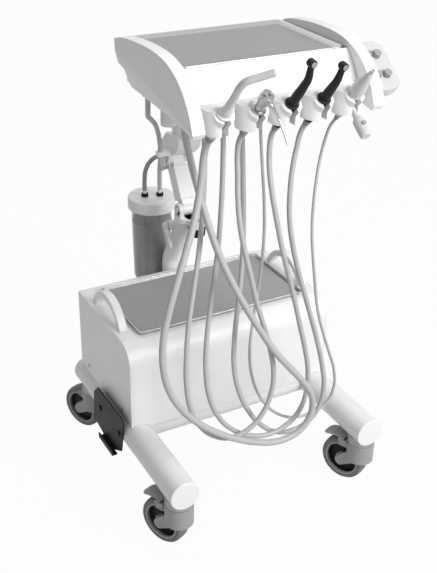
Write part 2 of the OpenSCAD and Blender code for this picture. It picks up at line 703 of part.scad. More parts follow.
CHEEK_TOP = [[54, 932], [20, 941], [-50, 948], [-120, 948], [-170, 938], [-210, 916], [-240, 882], [-256, 848]];
CHEEK_LOW = [[-248, 838], [-214, 846], [-150, 850], [-60, 851], [14, 852], [22, 862], [26, 882], [54, 886]];
module head_cheek() color("white") translate([0, 0, head_floor_z - 850])
    along_x(cheek_in, head_x) polygon(concat(curve(CHEEK_TOP, 5), CHEEK_LOW));
module head_right_cheek() head_cheek();
module head_left_cheek() mirror([1, 0, 0]) head_cheek();

module head_tray() color("silver")
    tray_pan(head_tray_x, head_tray_front, head_tray_back, head_tray_z - tray_depth);
module head_tray_mat() color("gray")
    tray_mat(head_tray_x, head_tray_front, head_tray_back, head_tray_z - tray_depth, head_mat_gap);

module instrument_holders() color("white") for (i = [0 : 4]) difference() {
    union() {
        translate([(i - 2) * holder_pitch, 0, 0]) difference() {
            union() {
                translate([0, holder_body_y, holder_low]) cylinder(r = holder_r, h = holder_high - holder_low);
                block([-holder_r + 1, holder_body_y, holder_low], [holder_r - 1, panel_cy - 140, holder_high]);
            }
            translate([0, holder_y, holder_z]) rotate([holder_tilt, 0, 0])
                block([-holder_r - 1, -80, pocket_rim], [holder_r + 1, 80, pocket_rim + 60]);
            rod_x(panel_cy, panel_cz, panel_r + seat, -holder_r - 1, holder_r + 1);
        }
        at_holder(i) translate([0, 0, cup_low]) cylinder(r = cup_r, h = cup_high - cup_low);
    }
    at_holder(i) {
        translate([0, 0, cup_low - 20]) cylinder(r = bore_r, h = cup_h + 60);
        translate([0, 0, cup_high]) cylinder(r = pocket_r, h = 40);
        block([-slot_w / 2, -60, -60], [slot_w / 2, 0, 60]);
    }
}

module water_cup() color("whitesmoke") translate([bottle_x, bottle_y, head_floor_z - seat - bottle_h])
    difference() {
        cylinder(r = bottle_r, h = bottle_h);
        translate([0, 0, 2]) cylinder(r = bottle_r - 2, h = bottle_h - 12);
    }

// ---- control box ---------------------------------------------------------------------
module control_box() color("lightgray") {
    difference() {
        at_control() translate([0, 0, -control_t]) linear_extrude(control_t) intersection() {
            square([control_w, 2 * control_r], center = true);
            circle(control_r, $fn = 96);
        }
        at_control() for (k = KNOBS) translate([k[0], k[1], -8]) cylinder(r = 3 + run, h = 9);
    }
    at_control() block([-control_w / 2 - 8 + seat, -16, -control_t + 3], [-control_w / 2 + 1, 16, -3]);
}

module control_knob(i) color("dimgray") at_control() translate([KNOBS[i][0], KNOBS[i][1], 0]) {
    translate([0, 0, -7]) cylinder(r = 3, h = 8);
    translate([0, 0, seat]) cylinder(r = knob_d / 2, h = knob_h - 1.5);
    translate([0, 0, seat + knob_h - 1.5]) cylinder(r1 = knob_d / 2, r2 = knob_d / 2 - 1.5, h = 1.5);
}
module flow_knob_left() control_knob(0);
module flow_knob_right() control_knob(1);
module water_knob_left() control_knob(2);
module water_knob_right() control_knob(3);

// ---- instruments ---------------------------------------------------------------------
module grip(r, flange_r) {
    translate([0, 0, -tail_len]) cylinder(r = r - 1.5, h = 10);
    translate([0, 0, 10 - tail_len]) cylinder(r = r, h = tail_len - 10 + flange_low + 0.1);
    translate([0, 0, flange_low]) cylinder(r = flange_r, h = flange_high - flange_low);
}

module suction_handpiece() color("whitesmoke") at_holder(0) {
    bend = [0, 0, 103];
    tip = bend + [38, -11, 35];
    grip(10, 14);
    translate([0, 0, flange_high]) cylinder(r = 11, h = 24);
    translate([0, 0, flange_high + 24]) cylinder(r = 6.5, h = bend.z - flange_high - 24);
    translate(bend) sphere(6.5);
    rod(bend, tip, 6.4, 6.4);
}

module syringe() color("silver") at_holder(1) {
    grip(8.5, 13);
    difference() {
        union() {
            translate([0, 0, flange_high]) cylinder(r = 9, h = 22);
            translate([0, 0, flange_high + 20]) cylinder(r = 12, h = 20);
        }
        for (side = [-1, 1]) translate([side * 5, 0, flange_high + 32]) cylinder(r = 3 + run, h = 9);
    }
    rod([0, -8, 48], [2, -17, 50], 5, 4);
    rod([2, -17, 50], [7, -46, 46], 2.2, 2.2);
    translate([7, -46, 46]) sphere(2.4);
    rod([7, -46, 46], [13, -82, 31], 2.2, 2);
}
module syringe_button(side) color("dimgray") at_holder(1)
    translate([side * 5, 0, flange_high + 35]) cylinder(r = 3, h = 8);
module air_button() syringe_button(-1);
module water_button() syringe_button(1);

module handpiece(i, elbow, nose) color("#262626") at_holder(i) {
    top = elbow + nose;
    grip(8.5, 12.6);
    translate([0, 0, flange_high]) cylinder(r1 = 9.5, r2 = 8, h = 12);
    translate([0, 0, flange_high + 12]) cylinder(r1 = 8, r2 = 6.5, h = elbow.z - flange_high - 12);
    translate(elbow) sphere(6.5);
    rod(elbow, top, 6.5, 5);
    translate(top) rotate([60, 0, 0]) translate([0, 0, -7]) cylinder(r = 7.5, h = 14);
}
module handpiece_left() handpiece(2, [0, 0, 82], [0, 13, 28]);
module handpiece_right() handpiece(3, [0, 0, 68], [4, 10, 25]);

light_grip_top = [0, -38, -8];
light_grip_end = [0, -74, -6];
light_grip_r = 11;
light_neck_r = 5;
trigger_at = 0.4;
trigger_r = 4;
module at_trigger() {
    d = light_grip_end - light_grip_top;
    translate(light_grip_top + trigger_at * d) rotate([atan2(-d.z, -d.y), 0, 0]) children();
}

module curing_light() color("gainsboro") at_holder(4) difference() {
    union() {
        grip(8.5, 13);
        translate([0, 0, flange_high]) cylinder(r = 13, h = 16);
        translate([0, 0, flange_high + 16]) cylinder(r1 = 13, r2 = 5, h = 40);
        translate([0, 0, flange_high + 56]) cylinder(r = 4, h = 10);
        rod([0, -4, light_grip_top.z], light_grip_top, light_neck_r, light_neck_r);
        rod(light_grip_top, light_grip_end, light_grip_r, light_grip_r);
    }
    at_trigger() translate([0, 0, light_grip_r - 7]) cylinder(r = trigger_r + run, h = 12);
}
module curing_trigger() color("dimgray") at_holder(4)
    at_trigger() translate([0, 0, light_grip_r - 3.5]) cylinder(r = trigger_r, h = 6);

// ---- suction jar ---------------------------------------------------------------------
module suction_jar() color("lightslategray") translate([jar_x, jar_y, jar_z]) difference() {
    cylinder(r1 = jar_low_r, r2 = jar_r, h = jar_h);
    translate([0, 0, 3]) cylinder(r1 = jar_low_r - jar_wall, r2 = jar_r - jar_wall, h = jar_h);
}

module jar_lid() color("whitesmoke") {
    difference() {
        union() {
            translate([jar_x, jar_y, jar_top - 15]) cylinder(r = lid_r, h = 15 + seat + lid_t);
            for (b = BARBS) translate([b[0], b[1], barb_z - 1]) cylinder(r = barb_r, h = barb_h + 1);
        }
        translate([jar_x, jar_y, jar_top - 16]) cylinder(r = jar_r + seat, h = 16 + seat);
        for (b = BARBS) translate([b[0], b[1], jar_top]) cylinder(r = 2.5, h = lid_t + barb_h + 4);
    }
}

module jar_bracket() color("darkgray") {
    ring_z = jar_z - 40;
    difference() {
        union() {
            translate([0, column_y, ring_z]) cylinder(r = column_r + 4, h = 24);
            block([-10, column_y + column_r, ring_z], [10, jar_y - 10, ring_z + 24]);
            translate([jar_x, jar_y, jar_z - 16 - seat]) cylinder(r = jar_low_r - 4, h = 16);
            block([-24, jar_y - 22, ring_z + 12], [4, jar_y + 10, jar_z - seat - 1]);
        }
        translate([0, column_y, ring_z - 1]) cylinder(r = column_r + run, h = 40);
    }
}

// ---- hoses ---------------------------------------------------------------------------
module suction_hose() color("lightgray") hose(loop(0, SUCTION_ROUTE), hose_large_d, 10);
module handpiece_hoses() color("lightgray") {
    hose(loop(1, SYRINGE_ROUTE), hose_d, 8);
    hose(loop(2, LEFT_ROUTE), hose_d, 8);
    hose(loop(3, RIGHT_ROUTE), hose_d, 8);
}
module light_cord() color("lightgray") hose(loop(4, LIGHT_ROUTE), cable_d, 8);
module vacuum_hose() color("darkgray")
    hose(concat([[BARBS[0][0], BARBS[0][1], barb_z + barb_h]], VACUUM_ROUTE,
        [for (out = [12, 0]) [port_fit_x, port_fit_y + out, port_fit_z]]), hose_d, 8);
module jar_hose_arm() color("lightgray")
    hose(concat([[BARBS[1][0], BARBS[1][1], barb_z + barb_h]], JAR_ROUTE_LOW, JAR_ROUTE_HIGH,
        [for (below = [10, 0]) [clip_x, clip_y, clip_z - below]]), hose_d, 8);
module jar_hose_head() color("lightgray")
    hose(concat([for (above = [0, 14]) [clip_x, clip_y, clip_z + clip_h + above]], JAR_ROUTE_HEAD,
        [for (below = [12, 0]) [gland_x, gland_y, port_low - below]]), hose_d, 8);

frame_tubes();
tube_end_caps();
castor_mounts();
castor_fork(0);  // castor_fork_fl
castor_fork(1);  // castor_fork_fr
castor_fork(2);  // castor_fork_rl
castor_fork(3);  // castor_fork_rr
castor_wheel(0);  // castor_wheel_fl
castor_wheel(1);  // castor_wheel_fr
castor_wheel(2);  // castor_wheel_rl
castor_wheel(3);  // castor_wheel_rr
brake_pedal(0);  // brake_pedal_left
brake_pedal(1);  // brake_pedal_right
base_chassis();
casing_cover();
casing_left_panel();
casing_right_panel();
panel_screws();
base_handles();
base_tray();
base_tray_mat();
compressor();
air_tank();
pedal_hanger();
mast_column();
clamp_lever();
tension_knob();
spring_arm();
upper_bracket();
head_support();
head_pan();
head_front_panel();
head_left_cheek();
head_right_cheek();
head_tray();
head_tray_mat();
instrument_holders();
water_cup();
control_box();
flow_knob_left();
flow_knob_right();
water_knob_left();
water_knob_right();
suction_handpiece();
syringe();
air_button();
water_button();
handpiece_left();
handpiece_right();
curing_light();
curing_trigger();
suction_jar();
jar_lid();
jar_bracket();
suction_hose();
handpiece_hoses();
light_cord();
vacuum_hose();
jar_hose_arm();
jar_hose_head();
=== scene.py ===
# %% [markdown]
# # Dressing a portable dental unit
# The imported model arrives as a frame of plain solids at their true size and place. This lesson gives each
# of them the finish and the small forms of the real thing: powder coat, moulded plastic, steel trays,
# silicone hoses. Nothing here moves or resizes the frame. Sizes are written in millimetres, as on a
# drawing, and become metres in one place.

import json
import math

import bmesh
import bpy
from mathutils import Matrix, Vector, kdtree


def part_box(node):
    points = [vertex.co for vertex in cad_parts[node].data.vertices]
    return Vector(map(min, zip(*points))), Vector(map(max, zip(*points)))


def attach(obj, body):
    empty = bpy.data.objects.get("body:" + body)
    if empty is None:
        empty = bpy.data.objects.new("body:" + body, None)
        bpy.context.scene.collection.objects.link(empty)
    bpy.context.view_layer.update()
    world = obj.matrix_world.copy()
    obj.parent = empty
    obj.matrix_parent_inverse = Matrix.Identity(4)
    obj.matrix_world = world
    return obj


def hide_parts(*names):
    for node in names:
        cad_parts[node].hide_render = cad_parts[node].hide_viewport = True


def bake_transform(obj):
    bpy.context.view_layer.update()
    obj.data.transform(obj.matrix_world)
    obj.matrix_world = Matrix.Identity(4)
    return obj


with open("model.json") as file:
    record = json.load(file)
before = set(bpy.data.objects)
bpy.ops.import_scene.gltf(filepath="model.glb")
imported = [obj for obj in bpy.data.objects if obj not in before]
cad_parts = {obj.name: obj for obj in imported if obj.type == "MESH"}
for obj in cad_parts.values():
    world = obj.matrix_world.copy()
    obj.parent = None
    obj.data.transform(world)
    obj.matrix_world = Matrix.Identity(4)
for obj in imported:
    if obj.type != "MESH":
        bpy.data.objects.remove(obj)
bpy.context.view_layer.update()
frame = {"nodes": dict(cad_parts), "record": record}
MM = 0.001

# %% [markdown]
# ## Camera
# The photograph looks down from the front left, through a long lens. The camera could be aimed at a
# target object, but three angles and a place say the same and can be tuned one at a time. The lens is
# worked out for a picture 437 pixels wide.

# %% Camera
PICTURE_WIDTH = 437
FOCAL_PIXELS = 970
SENSOR = 36.0
CAMERA_AT = Vector((-0.862, -1.559, 1.380))
YAW, PITCH, ROLL = (math.radians(a) for a in (-29.1, 28.7, 1.28))


def added(name, data):
    """A new object in the scene."""
    thing = bpy.data.objects.new(name, data)
    bpy.context.scene.collection.objects.link(thing)
    return thing


camera_data = bpy.data.cameras.new("camera")
camera_data.sensor_fit = "HORIZONTAL"
camera_data.sensor_width = SENSOR
camera_data.lens = FOCAL_PIXELS / PICTURE_WIDTH * SENSOR
camera = added("camera", camera_data)
camera.matrix_world = (
    Matrix.Translation(CAMERA_AT)
    @ Matrix.Rotation(YAW, 4, "Z")
    @ Matrix.Rotation(math.pi / 2 - PITCH, 4, "X")
    @ Matrix.Rotation(ROLL, 4, "Z")
)
bpy.context.scene.camera = camera
print("camera: lens", round(camera_data.lens, 1), "mm")

# %% [markdown]
# ## Writing node trees as sums
# The sky, the floor and each finish are trees of nodes, and a tree drawn by hand is hard to read in a
# script. So one small class wraps a socket, and adding or multiplying wrapped sockets adds the Math node
# for it. Every other node comes from one method, which takes the node's type, inputs and settings.

# %% Node trees
class Level:
    """The output of a node. Each sum with it adds one Math node."""

    def __init__(self, tree, socket):
        self.tree, self.socket = tree, socket

    def sum(self, operation, first, second):
        return self.tree.node("ShaderNodeMath", {0: first, 1: second}, operation=operation)

    def __add__(self, other):
        return self.sum("ADD", self, other)

    def __sub__(self, other):
        return self.sum("SUBTRACT", self, other)

    def __rsub__(self, other):
        return self.sum("SUBTRACT", other, self)

    def __mul__(self, other):
        return self.sum("MULTIPLY", self, other)

    def __gt__(self, other):
        return self.sum("GREATER_THAN", self, other)

    __radd__ = __add__
    __rmul__ = __mul__


class Tree:
    """The node tree of a world or a material."""

    def __init__(self, owner):
        owner.use_nodes = True
        self.tree = owner.node_tree

    def node(self, kind, values=None, output=0, **settings):
        made = self.tree.nodes.new(kind)
        for setting, value in settings.items():
            setattr(made, setting, value)
        for socket, value in (values or {}).items():
            self.put(made.inputs[socket], value)
        return Level(self, made.outputs[output])

    def put(self, socket, value):
        if isinstance(value, Level):
            self.tree.links.new(value.socket, socket)
        else:
            socket.default_value = value


print("a sum of two outputs is now one Math node")

# %% A finish
def grey(level):
    """A neutral colour as the shader wants it, from its brightness on screen, 0 to 1."""
    linear = level / 12.92 if level < 0.04045 else ((level + 0.055) / 1.055) ** 2.4
    return (linear, linear, linear, 1.0)


class Finish(Tree):
    """A material being made: its principled shader is the surface, and place is the point on the object."""

    def __init__(self, name, base, roughness, metallic=0.0):
        self.material = bpy.data.materials.new(name)
        super().__init__(self.material)
        self.surface = self.tree.nodes["Principled BSDF"]
        self.base, self.roughness = base, roughness
        self.set("Base Color", base)
        self.set("Roughness", roughness)
        self.set("Metallic", metallic)
        self.place = self.node("ShaderNodeTexCoord", output="Object")

    def set(self, socket, value):
        self.put(self.surface.inputs[socket], value)

    def mix(self, share, first, second):
        """From the first colour to the second, as share goes from 0 to 1."""
        return self.node("ShaderNodeMix", {0: share, 6: first, 7: second}, output=2, data_type="RGBA")

    def cloud(self, size, detail=2.0, stretch=(1, 1, 1)):
        """Soft patches about size millimetres across, 0 to 1."""
        place = self.place
        if stretch != (1, 1, 1):
            place = self.node("ShaderNodeMapping", {"Vector": self.place, "Scale": stretch})
        inputs = {"Vector": place, "Scale": 1 / (size * MM), "Detail": detail}
        return self.node("ShaderNodeTexNoise", inputs)

    def grain(self, height, depth):
        """Makes the height, 0 to 1, stand depth millimetres proud in the light."""
        self.set("Normal", self.node("ShaderNodeBump", {"Height": height, "Distance": depth * MM}))

    def vary(self, share, darker, rougher):
        """Darkens the colour and raises the roughness where share is high."""
        shade = tuple(c * darker for c in self.base[:3]) + (1.0,)
        self.set("Base Color", self.mix(share, self.base, shade))
        self.set("Roughness", self.roughness + share * rougher)


print("half bright on screen is", round(grey(0.5)[0], 3), "to the shader")

# %% [markdown]
# ## Floor and sky
# A studio picture on white: the floor and the sky are white to the camera and to polished metal, while
# the light that falls on the object stays at a plain level. Light Path tells the two kinds of ray apart.
# A gloss also sees one dark patch behind the left shoulder, as from a black card in a studio, and steel
# gets its dark lines from it.

# %% Floor and sky
FLOOR_SIZE = 12.0
FLOOR_COLOUR = (0.5, 0.5, 0.5, 1)
FLOOR_ROUGHNESS = 0.9
FLOOR_GLOW = 0.97
SKY_LEVEL = 0.30
DARK_SIDE = Vector((-0.62, 0.77, -0.05)).normalized()
DARK_SPREAD = (0.72, 0.95)
DARK_DEPTH = 0.86


def rays(tree, kind):
    return tree.node("ShaderNodeLightPath", output=f"Is {kind} Ray")


def seen_directly(tree):
    """1 for rays from the camera, from a gloss or through glass, 0 for light that falls on things."""
    seen = {0: rays(tree, "Camera") + rays(tree, "Glossy"), 1: rays(tree, "Transmission")}
    return tree.node("ShaderNodeMath", seen, operation="ADD", use_clamp=True)


world = bpy.data.worlds.new("white_room")
bpy.context.scene.world = world
sky = Tree(world)
background = sky.tree.nodes["Background"]
way = sky.node("ShaderNodeTexCoord", output="Generated")
facing = sky.node("ShaderNodeVectorMath", {0: way, 1: DARK_SIDE}, output="Value", operation="DOT_PRODUCT")
spread = {"Value": facing, "From Min": DARK_SPREAD[0], "From Max": DARK_SPREAD[1]}
patch = sky.node("ShaderNodeMapRange", spread, interpolation_type="SMOOTHSTEP") * rays(sky, "Glossy")
sky.put(background.inputs["Color"], (1, 1, 1, 1))
sky.put(background.inputs["Strength"],
        SKY_LEVEL + (1 - SKY_LEVEL) * seen_directly(sky) - DARK_DEPTH * patch)

white = Finish("floor_white", FLOOR_COLOUR, FLOOR_ROUGHNESS)
glow = white.node("ShaderNodeEmission")
lit = Level(white, white.surface.outputs[0])
blend = white.node("ShaderNodeMixShader", {0: seen_directly(white) * FLOOR_GLOW, 1: lit, 2: glow})
white.put(white.tree.nodes["Material Output"].inputs["Surface"], blend)

floor_mesh = bpy.data.meshes.new("floor")
form = bmesh.new()
bmesh.ops.create_grid(form, x_segments=1, y_segments=1, size=FLOOR_SIZE / 2)
form.to_mesh(floor_mesh)
form.free()
floor_mesh.materials.append(white.material)
added("floor", floor_mesh)
print("floor:", FLOOR_SIZE, "m")

# %% [markdown]
# ## Lamps
# Flash heads in soft boxes light such a picture. Point lamps would throw hard shadows, so three large
# area lamps stand in for the boxes. The strongest stands in front, so the left flank of the casing falls
# into a calm grey, a weak one lifts that flank, and one behind and above draws a light line on the tops.

# %% Lamps
LAMPS = [
    # name, place, aim, size and power
    ("key_front", (1.0, -2.6, 2.1), (0.0, -0.1, 0.5), 1.6, 90),
    ("fill_left", (-2.6, -1.6, 1.5), (0.0, 0.0, 0.5), 2.0, 8),
    ("rear_top", (0.5, 1.4, 2.9), (0.0, 0.0, 0.6), 2.6, 24),
]
for name, place, aim, size, power in LAMPS:
    lamp_data = bpy.data.lights.new(name, "AREA")
    lamp_data.shape, lamp_data.size, lamp_data.energy = "SQUARE", size, power
    lamp = added(name, lamp_data)
    lamp.location = place
    lamp.rotation_mode = "QUATERNION"
    lamp.rotation_quaternion = (Vector(aim) - Vector(place)).to_track_quat("-Z", "Y")
bpy.context.scene.view_settings.view_transform = "Standard"
print("lamps:", ", ".join(lamp[0] for lamp in LAMPS))

# %% [markdown]
# ## Finishes
# Each finish copies how its surface is made. Powder coat flows into a fine orange peel. Moulded plastic
# carries the spark texture of its tool. Rubber is dull and dusty, steel sheet has the faint lines of the
# brush, and a silicone hose has a little haze. Painted images could show all this, but noise needs no
# unwrapping and keeps its size in millimetres on every piece.

# %% Kinds of finish
CLEAN, SMEARED = 0.67, 0.16


def powder_coat(name, colour, roughness=0.34, gloss=0.5):
    finish = Finish(name, colour, roughness)
    finish.set("Specular IOR Level", gloss)
    finish.vary(finish.cloud(size=90, detail=3.0), darker=0.95, rougher=0.12)
    finish.grain(finish.cloud(size=1.6, detail=1.0), depth=0.05)
    return finish


def moulded(name, colour, roughness, depth=0.03, gloss=0.5):
    finish = Finish(name, colour, roughness)
    finish.set("Specular IOR Level", gloss)
    finish.vary(finish.cloud(size=35, detail=3.0), darker=0.94, rougher=0.14)
    finish.grain(finish.cloud(size=0.55, detail=2.0), depth)
    return finish


def rubber(name, colour):
    finish = Finish(name, colour, 0.62)
    dust = finish.cloud(size=14, detail=5.0)
    clean = tuple(c * 0.8 for c in colour[:3]) + (1,)
    finish.set("Base Color", finish.mix(dust, clean, grey(0.52)))
    finish.set("Roughness", 0.55 + dust * 0.25)
    finish.grain(finish.cloud(size=0.8, detail=3.0), depth=0.06)
    return finish


def brushed_steel(name, colour):
    finish = Finish(name, colour, 0.20, metallic=1.0)
    lines = finish.cloud(size=0.7, detail=3.0, stretch=(0.03, 1, 1))
    finish.vary(lines, darker=0.9, rougher=0.14)
    finish.grain(lines, depth=0.01)
    return finish


def cast_metal(name, colour):
    finish = Finish(name, colour, 0.45, metallic=0.3)
    finish.vary(finish.cloud(size=30), darker=0.88, rougher=0.12)
    finish.grain(finish.cloud(size=1.1, detail=4.0), depth=0.12)
    return finish


def polished(name, colour, roughness=0.12):
    """Metal that is smoother than roughness where it is clean, and rougher where a hand smeared it."""
    finish = Finish(name, colour, roughness, metallic=1.0)
    smear = finish.cloud(size=18, detail=4.0)
    finish.set("Roughness", roughness * CLEAN + smear * SMEARED)
    finish.grain(finish.cloud(size=6, detail=1.0), depth=0.004)
    return finish


def pebbled_mat(name, colour, pebble=1.5):
    finish = Finish(name, colour, 0.66)
    inputs = {"Vector": finish.place, "Scale": 1 / (pebble * MM)}
    finish.vary(finish.cloud(size=60, detail=4.0), darker=0.92, rougher=0.1)
    finish.grain(1.0 - finish.node("ShaderNodeTexVoronoi", inputs), depth=0.14)
    return finish


def silicone(name, colour):
    finish = Finish(name, colour, 0.36)
    finish.vary(finish.cloud(size=22, detail=3.0), darker=0.91, rougher=0.16)
    finish.grain(finish.cloud(size=2.4, detail=1.0), depth=0.03)
    return finish


def smoky_clear(name, colour, clear_from):
    """Smoky below the height clear_from, in metres, and much clearer above it."""
    finish = Finish(name, colour, 0.14)
    haze = finish.cloud(size=40, detail=3.0)
    height = finish.node("ShaderNodeSeparateXYZ", {0: finish.place}, output=2)
    clear = height > clear_from
    finish.set("Base Color", finish.mix(clear, colour, grey(0.70)))
    finish.set("Roughness", 0.1 + haze * 0.14)
    finish.set("Alpha", 0.80 + haze * 0.08 - clear * 0.44)
    finish.set("Coat Weight", 0.4)
    finish.grain(finish.cloud(size=26, detail=1.0), depth=0.15)
    return finish


print("kinds of finish ready")

# %% The finish of each slot
MADE = {
    "white_paint": powder_coat("white_powder_coat", grey(0.93)),
    "white_plastic": moulded("white_moulding", grey(0.945), 0.32),
    "light_plastic": moulded("light_grey_moulding", grey(0.84), 0.34),
    "castor_plastic": moulded("castor_moulding", grey(0.63), 0.46, depth=0.05),
    "wheel_rubber": rubber("wheel_tread", grey(0.42)),
    "cast_grey": cast_metal("cast_bracket", grey(0.66)),
    "tray_steel": brushed_steel("tray_sheet", grey(0.74)),
    "mat_rubber": pebbled_mat("tray_mat_rubber", grey(0.63)),
    "black_plastic": moulded("black_moulding", grey(0.09), 0.45, depth=0.04, gloss=0.14),
    "plated_steel": polished("plated_steel", grey(0.66), roughness=0.42),
    "black_metal": powder_coat("black_powder_coat", grey(0.11), roughness=0.5, gloss=0.22),
    "chrome_steel": polished("chrome", grey(0.66)),
    "jar_plastic": smoky_clear("smoky_jar", grey(0.60), clear_from=0.446),
    "hose_rubber": silicone("light_silicone", grey(0.73)),
    "hose_dark": silicone("grey_silicone", grey(0.60)),
    "compressor_metal": cast_metal("motor_casting", grey(0.50)),
    "tank_paint": powder_coat("tank_powder_coat", grey(0.80)),
}
print("finishes:", len(MADE))

# %% [markdown]
# ## From a form to a piece
# A bmesh is only a form. It becomes a piece when it has a name, a finish, a place in metres and a body
# that carries it. Doing that in one function keeps the rest of the lesson about shapes. Smooth shading is
# set everywhere, edges sharper than an angle stay crisp, and the normals lean to the larger faces, so a
# flat face next to a small rounding stays evenly lit. A stand-in is a piece that replaces one solid.

# %% Pieces
SLOT_OF = {sub["node"]: sub["material_slot"] for sub in frame["record"]["subparts"]}
BODY_OF = {node: body for body, nodes in frame["record"]["behaviour"]["bodies"].items() for node in nodes}
CRISP = 32


def as_piece(name, form, slot, body, stands_for=(), crisp=CRISP, scale=MM, even_flats=True):
    """Turns a bmesh in millimetres into a named piece that rides on a body."""
    if scale != 1:
        bmesh.ops.scale(form, vec=(scale,) * 3, verts=form.verts)
    mesh = bpy.data.meshes.new(name)
    form.to_mesh(mesh)
    form.free()
    mesh.materials.append(MADE[slot].material)
    mesh.shade_smooth()
    mesh.set_sharp_from_angle(angle=math.radians(crisp))
    thing = added(name, mesh)
    if even_flats:
        flats = thing.modifiers.new("even flats", "WEIGHTED_NORMAL")
        flats.keep_sharp = True
    if body:
        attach(thing, body)
    if stands_for:
        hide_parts(*stands_for)
    return thing


def stand_in(name, form, node, slot=None, **how):
    """A piece in place of one solid, on the same body and, unless a slot is given, of its finish."""
    return as_piece(name, form, slot or SLOT_OF[node], BODY_OF[node], stands_for=[node], **how)


print("the record gives", len(SLOT_OF), "solids a finish")

# %% [markdown]
# ## Where the hoses run
# A hose has a real length and leaves its fitting straight, so its route was settled with the solids, and
# the same points are listed here, in millimetres. A simulated rope would hang by itself, but its shape
# would change with every setting, and the photograph shows each loop, so points given one by one fit it
# better.

# %% Hose routes
TAIL_TILT = math.radians(40)
TAIL_Y, TAIL_Z = -205.861, 823.698
HOLDER_PITCH = 64.2
PORT_X0, PORT_PITCH, PORT_Y, PORT_Z = -140, 38, -130, 835
HOSE_GAP = 0.05
STRAIGHT_OUT, STRAIGHT_DOWN = 14, 25


def tail(i, out):
    """The point on the axis of instrument i, out millimetres below its tail."""
    return (
        (i - 2) * HOLDER_PITCH,
        TAIL_Y + out * math.sin(TAIL_TILT),
        TAIL_Z - out * math.cos(TAIL_TILT),
    )


def port(i, below=0):
    return (PORT_X0 + i * PORT_PITCH, PORT_Y, PORT_Z - below)


def loop(i, middle):
    """The whole route of instrument i's hose, from its tail to its port under the head."""
    return [tail(i, HOSE_GAP), tail(i, STRAIGHT_OUT), *middle, port(i, STRAIGHT_DOWN), port(i)]


SUCTION_ROUTE = [
    (-129, -186, 795), (-131, -182, 770), (-136, -186, 740), (-147, -196, 705), (-163, -209, 668),
    (-184, -223, 628), (-208, -237, 580), (-230, -248, 530), (-245, -257, 482), (-250, -266, 435),
    (-243, -274, 388), (-222, -281, 345), (-190, -286, 306), (-150, -290, 272), (-105, -293, 243),
    (-60, -295, 222), (-30, -296, 213), (0, -296, 211), (30, -296, 220), (51, -295, 242),
    (59, -293, 272), (52, -291, 302), (31, -289, 335), (3, -285, 371), (-25, -280, 408),
    (-51, -270, 452), (-75, -254, 500), (-95, -234, 548), (-112, -212, 600), (-124, -190, 655),
    (-132, -168, 710), (-138, -146, 765),
]
SYRINGE_ROUTE = [
    (-65, -188, 797), (-66, -186, 775), (-69, -194, 742), (-75, -208, 702), (-78, -224, 655),
    (-73, -237, 605), (-64, -247, 555), (-54, -254, 505), (-40, -260, 455), (-27, -264, 405),
    (-19, -267, 355), (-24, -270, 310), (-42, -273, 272), (-72, -274, 245), (-108, -273, 236),
    (-143, -270, 248), (-172, -265, 276), (-190, -257, 318), (-194, -247, 366), (-188, -234, 418),
    (-175, -217, 474), (-156, -198, 532), (-136, -179, 594), (-120, -161, 660), (-108, -144, 730),
]
LEFT_ROUTE = [
    (0, -188, 797), (-1, -186, 772), (-4, -194, 738), (-5, -208, 698), (0, -222, 645), (9, -232, 590),
    (21, -239, 540), (34, -245, 485), (47, -249, 430), (60, -253, 375), (68, -256, 325),
    (66, -259, 278), (48, -262, 237), (16, -264, 214), (-22, -264, 207), (-60, -261, 215),
    (-96, -256, 237), (-125, -248, 272), (-141, -238, 318), (-143, -226, 370), (-135, -212, 425),
    (-121, -198, 482), (-104, -182, 542), (-88, -166, 605), (-76, -151, 670), (-67, -137, 740),
]
RIGHT_ROUTE = [
    (62, -188, 797), (57, -186, 770), (48, -190, 735), (39, -199, 690), (35, -209, 640),
    (40, -219, 585), (52, -227, 530), (66, -233, 480), (82, -238, 425), (98, -241, 370),
    (111, -244, 315), (117, -246, 265), (108, -248, 222), (82, -249, 194), (46, -249, 184),
    (8, -248, 192), (-26, -245, 218), (-53, -240, 256), (-72, -233, 302), (-80, -223, 355),
    (-74, -210, 412), (-61, -196, 470), (-47, -181, 530), (-36, -165, 595), (-29, -149, 665),
    (-25, -135, 740),
]
LIGHT_ROUTE = [
    (124, -189, 798), (117, -187, 775), (106, -191, 742), (95, -199, 702), (87, -207, 655),
    (84, -213, 605), (88, -217, 552), (94, -221, 498), (101, -225, 445), (114, -230, 392),
    (131, -234, 340), (146, -237, 292), (148, -238, 248), (132, -238, 216), (100, -237, 203),
    (62, -236, 203), (26, -234, 218), (-4, -230, 246), (-26, -225, 284), (-38, -218, 328),
    (-39, -210, 374), (-30, -200, 422), (-16, -189, 474), (-1, -176, 530), (11, -162, 590),
    (17, -147, 655), (16, -136, 725),
]
VACUUM_ROUTE = [
    (-30, 287, 518.3), (-30, 287, 545), (-27, 287, 566), (-18, 286, 583), (-4, 284, 594),
    (14, 281, 598), (32, 277, 596), (46, 272, 586), (56, 267, 569), (61, 261, 545), (63, 257, 500),
    (63, 254, 450), (60, 251, 405), (55, 249, 372), (49, 245, 346), (46, 236, 324), (45, 220, 310),
    (45, 208, 310),
]
JAR_LOW_ROUTE = [
    (2, 276, 518.3), (2, 276, 558), (0, 270, 583), (-6, 252, 601), (-16, 226, 608), (-30, 196, 606),
]
JAR_HIGH_ROUTE = [
    (-30, 196, 606), (-40, 179, 610), (-47, 167, 622), (-50, 162, 637), (-50, 162, 647),
]
JAR_HEAD_ROUTE = [
    (-50, 162, 657), (-50, 162, 671), (-53, 159, 686), (-62, 146, 706), (-77, 124, 729), (-98, 92, 751),
    (-120, 57, 771), (-139, 24, 789), (-148, 5, 806), (-150, 0, 823), (-150, 0, 835),
]
print("suction hose route:", len(loop(0, SUCTION_ROUTE)), "points")
